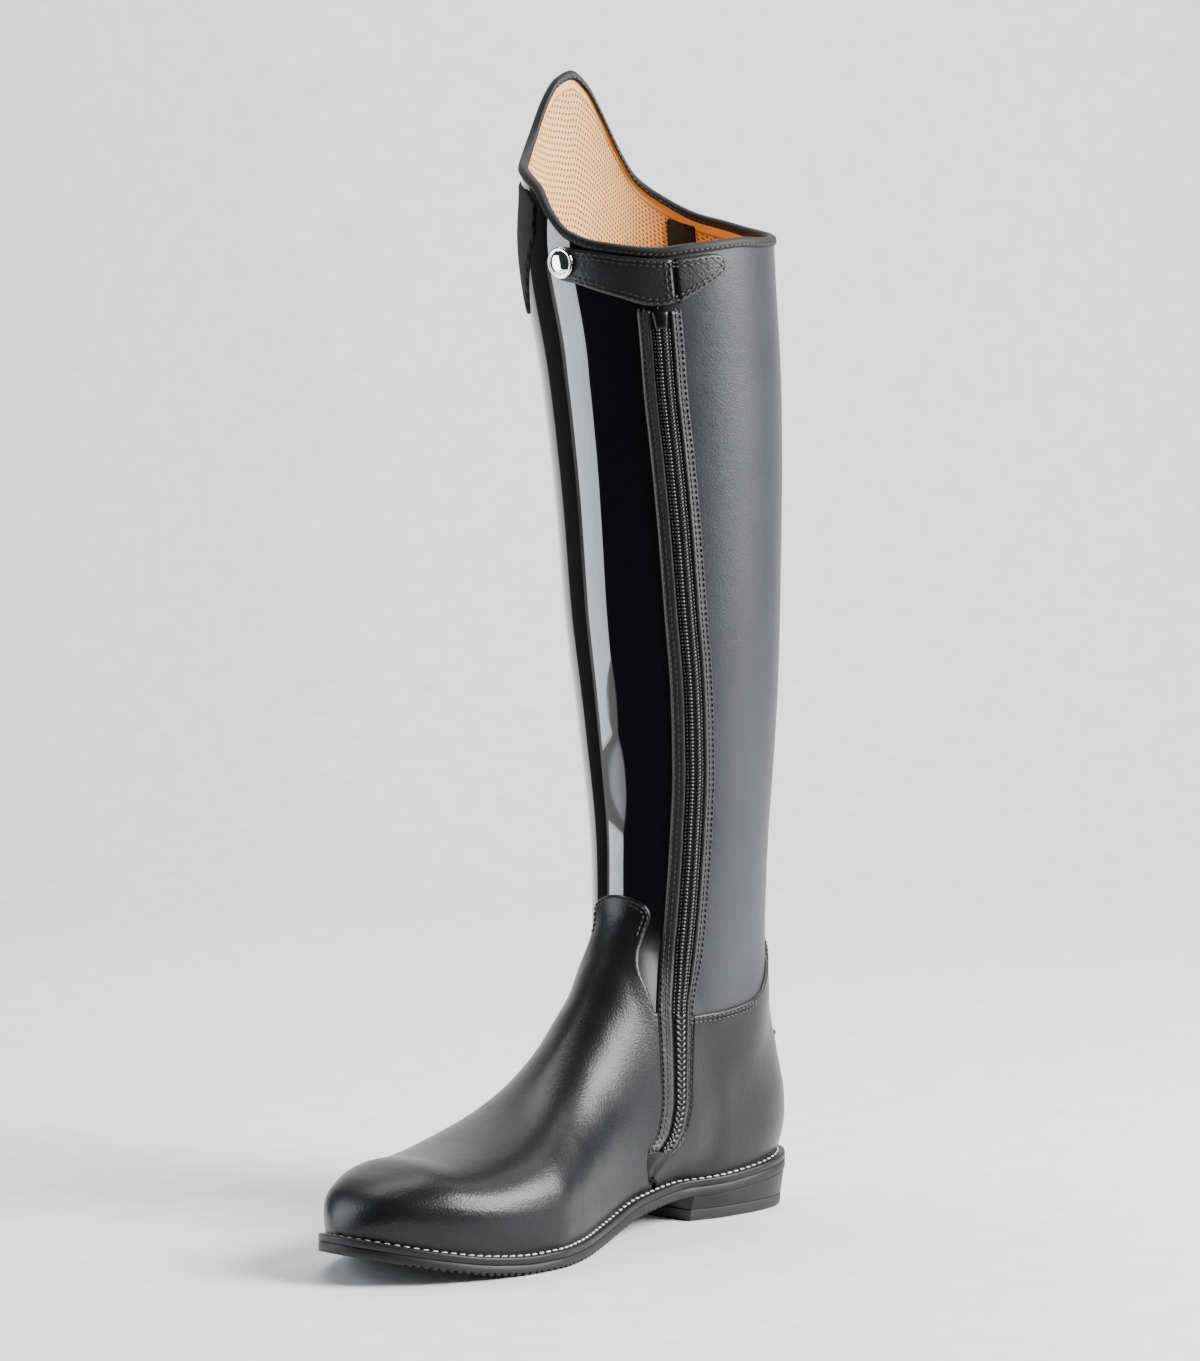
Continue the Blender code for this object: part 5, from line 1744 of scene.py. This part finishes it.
@dataclass
class Zip(SubAssembly):
    """Tape, coil, slider, folded edges and end patch."""

    foot: float = ZIP_FOOT * SHAFT_HEIGHT
    top: float = ZIP_TOP * SHAFT_HEIGHT
    sections: int = 260
    edge: float = ZIP_GAP / 2
    wide: float = ZIP_GAP / 2 + ZIP_FACING
    base: float = CLEARANCE + 0.0006
    face: float = CLEARANCE + 0.0006 + 0.0006
    lid: float = CLEARANCE + OVERLAY
    slider_foot: float = ZIP_TOP * SHAFT_HEIGHT - 0.0085
    big_teeth_below: float = 0.213
    tooth: Stitch = Stitch(0.0017, (0.0013, 0.0023, 0.0016))
    lower_tooth: Stitch = Stitch(0.0026, (0.0017, 0.0044, 0.0020))
    teeth_slants: tuple[float, float] = (0.35, 0.62)
    teeth_aside: float = 0.0015
    teeth_lift: float = 0.0010
    sewing: Stitch = Stitch(0.0017, (0.0012, 0.0010, 0.0010))
    sewing_aside: float = 0.0034
    sewing_lift: float = 0.0004
    stitch: Stitch = Stitch(0.0027, (0.0021, 0.0007, 0.0006))
    rows_out: tuple[float, float] = (0.0026, 0.0047)

    def strip(self, name: str, profile: Sequence[tuple[float, float]], low: float, high: float, count: int,
              finish: bpy.types.Material, widths: Array | float = 1.0,
              heights: Array | float = 1.0) -> bpy.types.Object:
        """Sweep a profile along the zip.

        Args:
            name: the piece's name.
            profile: distance from the zip's middle and height off the leather of each point.
            low: lowest height.
            high: highest height.
            count: number of sections.
            finish: its material.
            widths: share of the profile's width at each section.
            heights: share of the profile's height above its lowest point.

        Returns:
            The piece.
        """
        shape = np.array(profile)
        levels = np.linspace(low, high, count)
        across = shape[None, :, 0] * (np.ones(count) * widths)[:, None]
        foot = shape[:, 1].min()
        rise = foot + (shape[None, :, 1] - foot) * (np.ones(count) * heights)[:, None]
        points = beside_zip(across, levels)
        sections = points + Last.normals(points) * rise[..., None]
        return outward_faces(mesh_object(name, *swept(sections), finish))

    def row(self, offset: float, height: float, low: float, high: float) -> SeamRow:
        """Line beside the zip at a distance from its middle.

        Args:
            offset: the distance, above 0 behind it.
            height: height off the last.
            low: lowest height.
            high: highest height.

        Returns:
            The line.
        """
        points = beside_zip(np.array([[offset]]), np.linspace(low, high, self.sections))[:, 0]
        outward = Last.normals(points)
        return SeamRow(points + outward * height, outward)

    def coil(self) -> None:
        """Tape, and the coil's core and teeth up to the slider."""
        edge, face, split = self.edge, self.face, self.big_teeth_below * SHAFT_HEIGHT
        weave = self.finishes.tape
        tape = [(-edge, self.base), (edge, self.base), (edge, face), (-edge, face)]
        report(self.strip("woven_tape", tape, self.foot, self.top, self.sections, weave), Slot.ZIP, "zip_tape")
        core = [(-0.0030, face), (0.0030, face), (0.0026, face + 0.0007), (-0.0026, face + 0.0007)]
        obj = self.strip("coil_core", core, self.foot, self.slider_foot, self.sections, weave)
        report(obj, Slot.ZIP, "zip_coil")
        upper, lower = self.teeth_slants
        for name, low, high, tooth, slant in (
            ("coil_teeth", split, self.slider_foot, self.tooth, upper),
            ("lower_coil_teeth", self.foot, split, self.lower_tooth, lower),
        ):
            for place, side in (("front", -1), ("rear", 1)):
                row = self.row(side * self.teeth_aside, face + self.teeth_lift, low, high)
                self.sewn(f"{name}_{place}", [row], tooth, Slot.ZIP, self.finishes.coil, side * slant)
        rows = [self.row(side * self.sewing_aside, face + self.sewing_lift, split, self.slider_foot)
                for side in (-1, 1)]
        self.sewn("coil_sewing", rows, self.sewing, Slot.ZIP, self.finishes.coil)

    def slider(self) -> None:
        """Slider at the top, wider towards the top and with rounded ends."""
        face, count = self.face, 16
        body = [(-0.0038, face + 0.0003), (0.0038, face + 0.0003), (0.0036, face + 0.0013),
                (0.0024, face + 0.0020), (-0.0024, face + 0.0020), (-0.0036, face + 0.0013)]
        shares = np.linspace(0, 1, count)
        crown = np.sqrt(np.clip(1 - (2 * shares - 1) ** 6, 0.15, 1))
        obj = self.strip("slider_body", body, self.slider_foot, self.top, count, self.finishes.slider,
                         0.72 + 0.28 * shares, crown)
        report(obj, Slot.METAL, "zip_slider")

    def facings(self) -> None:
        """Folded leather edges beside the zip."""
        edge, wide, lid = self.edge, self.wide, self.lid
        fold = ((edge - 0.0002, self.base), (wide, self.base - 0.0006), (wide - 0.0004, lid - 0.0008),
                (wide - 0.0011, lid - 0.0002), (edge + 0.0022, lid), (edge + 0.0014, lid + 0.0006),
                (edge + 0.0007, lid + 0.0008), (edge, lid + 0.0005), (edge - 0.0004, lid - 0.0001))
        for name, side in (("front", -1), ("rear", 1)):
            profile = [(side * across, rise) for across, rise in fold]
            obj = self.strip(f"folded_edge_{name}", profile, self.foot, self.top, self.sections,
                             self.finishes.strap)
            report(obj, Slot.SHAFT, f"zip_{name}_facing")

    def patch(self) -> None:
        """Little triangle at the foot of the zip."""
        wide, lid, count = self.wide, self.lid, 24
        profile = [(-wide, self.base - 0.0005), (wide, self.base - 0.0005), (wide - 0.0006, lid),
                   (0.0006 - wide, lid)]
        obj = self.strip("end_patch", profile, ZIP_PATCH_FOOT * SHAFT_HEIGHT, self.foot - 0.0004, count,
                         self.finishes.calf, 0.25 + 0.75 * np.linspace(0, 1, count))
        report(obj, Slot.FOOT, "zip_end_patch")

    def stitches(self) -> None:
        """Two rows on each folded edge."""
        rows = [self.row(side * (self.edge + away), self.lid + THREAD_LIFT, self.foot, self.top)
                for side in (-1, 1) for away in self.rows_out]
        self.sewn("zip_stitching", rows, self.stitch, Slot.SHAFT)

    def build(self) -> None:
        """Build the whole zip."""
        self.coil()
        self.slider()
        self.facings()
        self.patch()
        self.stitches()


@dataclass
class Collar(SubAssembly):
    """Strap with its tab and snap, elastic pieces and the binding."""

    strap: float = 0.0019
    tab: float = 0.0019 * 0.8
    elastic: float = 0.0010
    elastic_roll: float = 0.0010
    strap_roll: float = 0.0016
    rows_in: tuple[float, float] = (0.0018, 0.0036)
    end_rows: tuple[float, float] = (46.6, 48.6)
    end_play: float = 0.003
    stitch: Stitch = Stitch(0.0030, (0.0024, 0.0008, 0.0007))
    bound: float = 0.0008
    binding_row: float = 0.0022
    binding_stitch: Stitch = Stitch(0.0028, (0.0023, 0.0008, 0.0007))
    snap_place: tuple[float, float] = (1.0, 0.9615)
    snap_radius: float = 0.00725
    snap_height: float = 0.0030
    snap_profile: Rows = (
        (0.90, 0.0), (1.0, 0.10), (1.02, 0.26), (0.97, 0.42), (0.90, 0.50), (0.85, 0.48), (0.82, 0.42),
        (0.79, 0.46), (0.74, 0.62), (0.62, 0.80), (0.45, 0.92), (0.25, 0.985), (0.02, 1.0),
    )

    def straps(self) -> None:
        """Strap, tab and the elastic on the outside."""
        leather, knit = self.finishes.strap, self.finishes.elastic
        for name, node, edge, top, roll, finish, slot in (
            ("closing_strap", "top_strap", STRAP_EDGE, self.strap, self.strap_roll, leather, Slot.STRAP),
            ("anchor_tab", "strap_tab", TAB_EDGE, self.tab, self.strap_roll, leather, Slot.STRAP),
            ("front_elastic", "front_gusset", FRONT_GUSSET_EDGE, self.elastic, self.elastic_roll, knit,
             Slot.ELASTIC),
            ("rear_elastic", "rear_gusset", REAR_GUSSET_EDGE, self.elastic, self.elastic_roll, knit,
             Slot.ELASTIC),
        ):
            panel = Panel(name, 0.0, CLEARANCE + top, roll)
            report(panel.build(self.skin, self.bands.inside(edge), finish), slot, node)

    def stitches(self) -> None:
        """Rows round the strap and the tab, and across the strap's end."""
        rows = []
        for edge, thickness in ((STRAP_EDGE, self.strap), (TAB_EDGE, self.tab)):
            for column, side in ((1, 1), (2, -1)):
                line = edge_line(edge, column)
                rows += [seam(line, side * away, CLEARANCE + thickness + THREAD_LIFT) for away in self.rows_in]
        low, high = (share * SHAFT_HEIGHT for share in STRAP_EDGE[-1][1:])
        upright = np.linspace(low + self.end_play, high - self.end_play, 30)
        for bearing in self.end_rows:
            line = Last.on_leg(np.full_like(upright, math.radians(bearing)), upright)
            rows.append(seam(line, 0.0, CLEARANCE + self.strap + THREAD_LIFT))
        self.sewn("strap_stitching", rows, self.stitch, Slot.STRAP)

    def binding(self) -> None:
        """Folded binding over the rim, with a row of stitches outside and inside."""
        top, below, out = self.skin.points[-1], self.skin.points[-5], self.skin.outward[-1]
        down = below - top
        down /= np.linalg.norm(down, axis=1, keepdims=True)
        thick, inner = self.bound, -WALL - CLEARANCE
        profile = ((CLEARANCE, 0.0034), (CLEARANCE + thick * 0.7, 0.0033), (CLEARANCE + thick, 0.0026),
                   (CLEARANCE + thick * 1.1, 0.0010), (CLEARANCE + thick * 0.7, -0.0003), (-0.0002, -0.0011),
                   (-WALL / 2, -0.0013), (-WALL + 0.0002, -0.0011), (inner - thick * 0.7, -0.0003),
                   (inner - thick * 1.1, 0.0010), (inner - thick, 0.0026), (inner - thick * 0.7, 0.0033),
                   (inner, 0.0034), (inner, 0.0), (CLEARANCE, 0.0))
        sections = np.stack([top + out * across + down * drop for across, drop in profile], axis=1)
        self.solid("rim_binding", swept(sections, True), self.finishes.binding, Slot.STRAP, "top_binding")
        rows = [SeamRow(top + out * (CLEARANCE + thick * 1.1) + down * self.binding_row, out, True),
                SeamRow(top + out * (inner - thick * 1.1) + down * self.binding_row, -out, True)]
        self.sewn("binding_stitching", rows, self.binding_stitch, Slot.STRAP)

    def snap(self) -> None:
        """Domed chrome snap in a rolled ring."""
        bearing, share = self.snap_place
        spot = Last.on_leg(math.radians(bearing), share * SHAFT_HEIGHT)
        out = Last.normals(spot)
        side = np.cross(out, (0, 0, 1.0))
        side /= np.linalg.norm(side)
        up = np.cross(side, out)
        turns = np.linspace(0, 2 * math.pi, 64, endpoint=False)
        circle = np.outer(np.cos(turns), side) + np.outer(np.sin(turns), up)
        base = spot + out * (self.strap + 2 * CLEARANCE)
        sections = [base + out * self.snap_height * height + self.snap_radius * across * circle
                    for across, height in self.snap_profile]
        self.solid("domed_snap", swept(np.array(sections)), self.finishes.chrome, Slot.CHROME, "snap_stud")

    def build(self) -> None:
        """Build the collar."""
        self.straps()
        self.stitches()
        self.binding()
        self.snap()


@dataclass(frozen=True)
class Softbox:
    """A rectangular lamp, placed by degrees to the right of the camera, seen from the boot, and by distance.

    It faces a point given by the distance from the boot towards the camera and the height, or else is level.
    """

    name: str
    turn: float
    distance: float
    height: float
    size: tuple[float, float]
    power: float
    colour: tuple[float, float, float] = (1, 1, 1)
    aim: tuple[float, float] | None = None


@dataclass
class Studio:
    """Pale seamless floor, soft lights and the photograph's camera."""

    toward: Vector = field(default_factory=lambda: Vector((math.sin(CAMERA_TURN), -math.cos(CAMERA_TURN), 0)))
    right: Vector = field(default_factory=lambda: Vector((math.cos(CAMERA_TURN), math.sin(CAMERA_TURN), 0)))
    floor_front: float = 0.31
    floor_back: float = 1.6
    half_width: float = 5.0
    curve: float = 1.0
    wall_top: float = 5.0
    card_distance: float = 0.95
    card_turns: tuple[float, float] = (-107, -138)
    card_height: float = 1.3
    lamps: tuple[Softbox, ...] = (
        Softbox("main_softbox", turn=74, distance=1.6, height=1.15, size=(1.0, 0.95), power=92,
                aim=(0.0, 0.15)),
        Softbox("left_softbox", turn=-87, distance=0.85, height=0.36, size=(0.44, 0.66), power=5.4,
                colour=(0.93, 0.96, 1.0)),
        Softbox("right_softbox", turn=80, distance=1.5, height=0.8, size=(0.9, 1.2), power=15.5,
                colour=(0.97, 0.98, 1.0)),
        Softbox("backdrop_light", turn=180, distance=0.9, height=2.6, size=(3.0, 1.4), power=94,
                aim=(-2.4, 0.4)),
    )
    air_colour: tuple[float, float, float, float] = (0.62, 0.65, 0.70, 1)
    air_strength: float = 0.05
    farthest: float = 50.0

    def bearing(self, turn: float) -> Vector:
        """Level direction at an angle in degrees to the right of the camera, seen from the boot."""
        angle = math.radians(turn)
        return self.toward * math.cos(angle) + self.right * math.sin(angle)

    def floor(self) -> None:
        """Floor that curves up into the backdrop."""
        profile = [(self.floor_front, 0.0), (-self.floor_back, 0.0)]
        profile += [(-self.floor_back - math.sin(turn) * self.curve, self.curve - math.cos(turn) * self.curve)
                    for turn in np.linspace(0, math.pi / 2, 25)[1:]]
        profile += [(-self.floor_back - self.curve, self.wall_top)]
        verts = [tuple(self.toward * deep + self.right * across + Vector((0, 0, z)))
                 for deep, z in profile for across in (self.half_width, -self.half_width)]
        faces = [(2 * i, 2 * i + 1, 2 * i + 3, 2 * i + 2) for i in range(len(profile) - 1)]
        paper = Plain("seamless_paper", (0.80, 0.81, 0.82), 0.85, speckle=0.01, depth=0.0).make()
        mesh_object("studio_floor", verts, faces, paper)

    def card(self) -> None:
        """Black card that the patent leather mirrors."""
        ends = [self.bearing(turn) * self.card_distance for turn in self.card_turns]
        verts = [tuple(end + Vector((0, 0, z))) for end in ends for z in (0.0, self.card_height)]
        card = Plain("black_card", (0.01, 0.01, 0.01), 0.9).make()
        mesh_object("studio_card", verts, [(0, 1, 3, 2)], card)

    def light(self, box: Softbox) -> None:
        """Hang a softbox.

        Args:
            box: its size, place and power.
        """
        lamp = bpy.data.lights.new(box.name, "AREA")
        lamp.shape, lamp.energy, lamp.color = "RECTANGLE", box.power, box.colour
        lamp.size, lamp.size_y = box.size
        obj = bpy.data.objects.new(box.name, lamp)
        obj.location = self.bearing(box.turn) * box.distance + Vector((0, 0, box.height))
        deep, level = box.aim or (0.0, box.height)
        facing = self.toward * deep + Vector((0, 0, level)) - obj.location
        obj.rotation_mode = "QUATERNION"
        obj.rotation_quaternion = facing.to_track_quat("-Z", "Y")
        bpy.context.scene.collection.objects.link(obj)

    def air(self) -> None:
        """Faint light from all round."""
        world = bpy.data.worlds.new("studio_air")
        world.use_nodes = True
        background = world.node_tree.nodes["Background"]
        background.inputs["Color"].default_value = self.air_colour
        background.inputs["Strength"].default_value = self.air_strength
        bpy.context.scene.world = world

    def camera(self) -> None:
        """Camera where the photograph's was."""
        ahead = -self.toward * math.cos(CAMERA_YAW) + self.right * math.sin(CAMERA_YAW)
        right = self.right * math.cos(CAMERA_YAW) + self.toward * math.sin(CAMERA_YAW)
        ahead = ahead * math.cos(CAMERA_PITCH) - Vector((0, 0, 1)) * math.sin(CAMERA_PITCH)
        up = right.cross(ahead)
        lens = bpy.data.cameras.new("camera")
        lens.lens, lens.sensor_width, lens.clip_end = LENS, SENSOR, self.farthest
        obj = bpy.data.objects.new("camera", lens)
        place = Matrix((right, up, -ahead)).transposed().to_4x4()
        place.translation = self.toward * CAMERA_DISTANCE + Vector((0, 0, CAMERA_HEIGHT))
        obj.matrix_world = place
        bpy.context.scene.collection.objects.link(obj)
        bpy.context.scene.camera = obj

    def build(self) -> None:
        """Set up the studio."""
        self.floor()
        self.card()
        for box in self.lamps:
            self.light(box)
        self.air()
        self.camera()


def main() -> None:
    """Dress the boot and set up the studio."""
    logging.basicConfig(level=logging.INFO, format="%(name)s: %(message)s")
    finishes, repeats = Finishes(), Repeats()
    skin = Skin.over_last()
    bands = Bands(skin)
    for kind in (Sole, Shaft, FootLeather, Zip, Collar):
        kind(skin, bands, finishes, repeats).build()
    Studio().build()


if __name__ == "__main__":
    main()
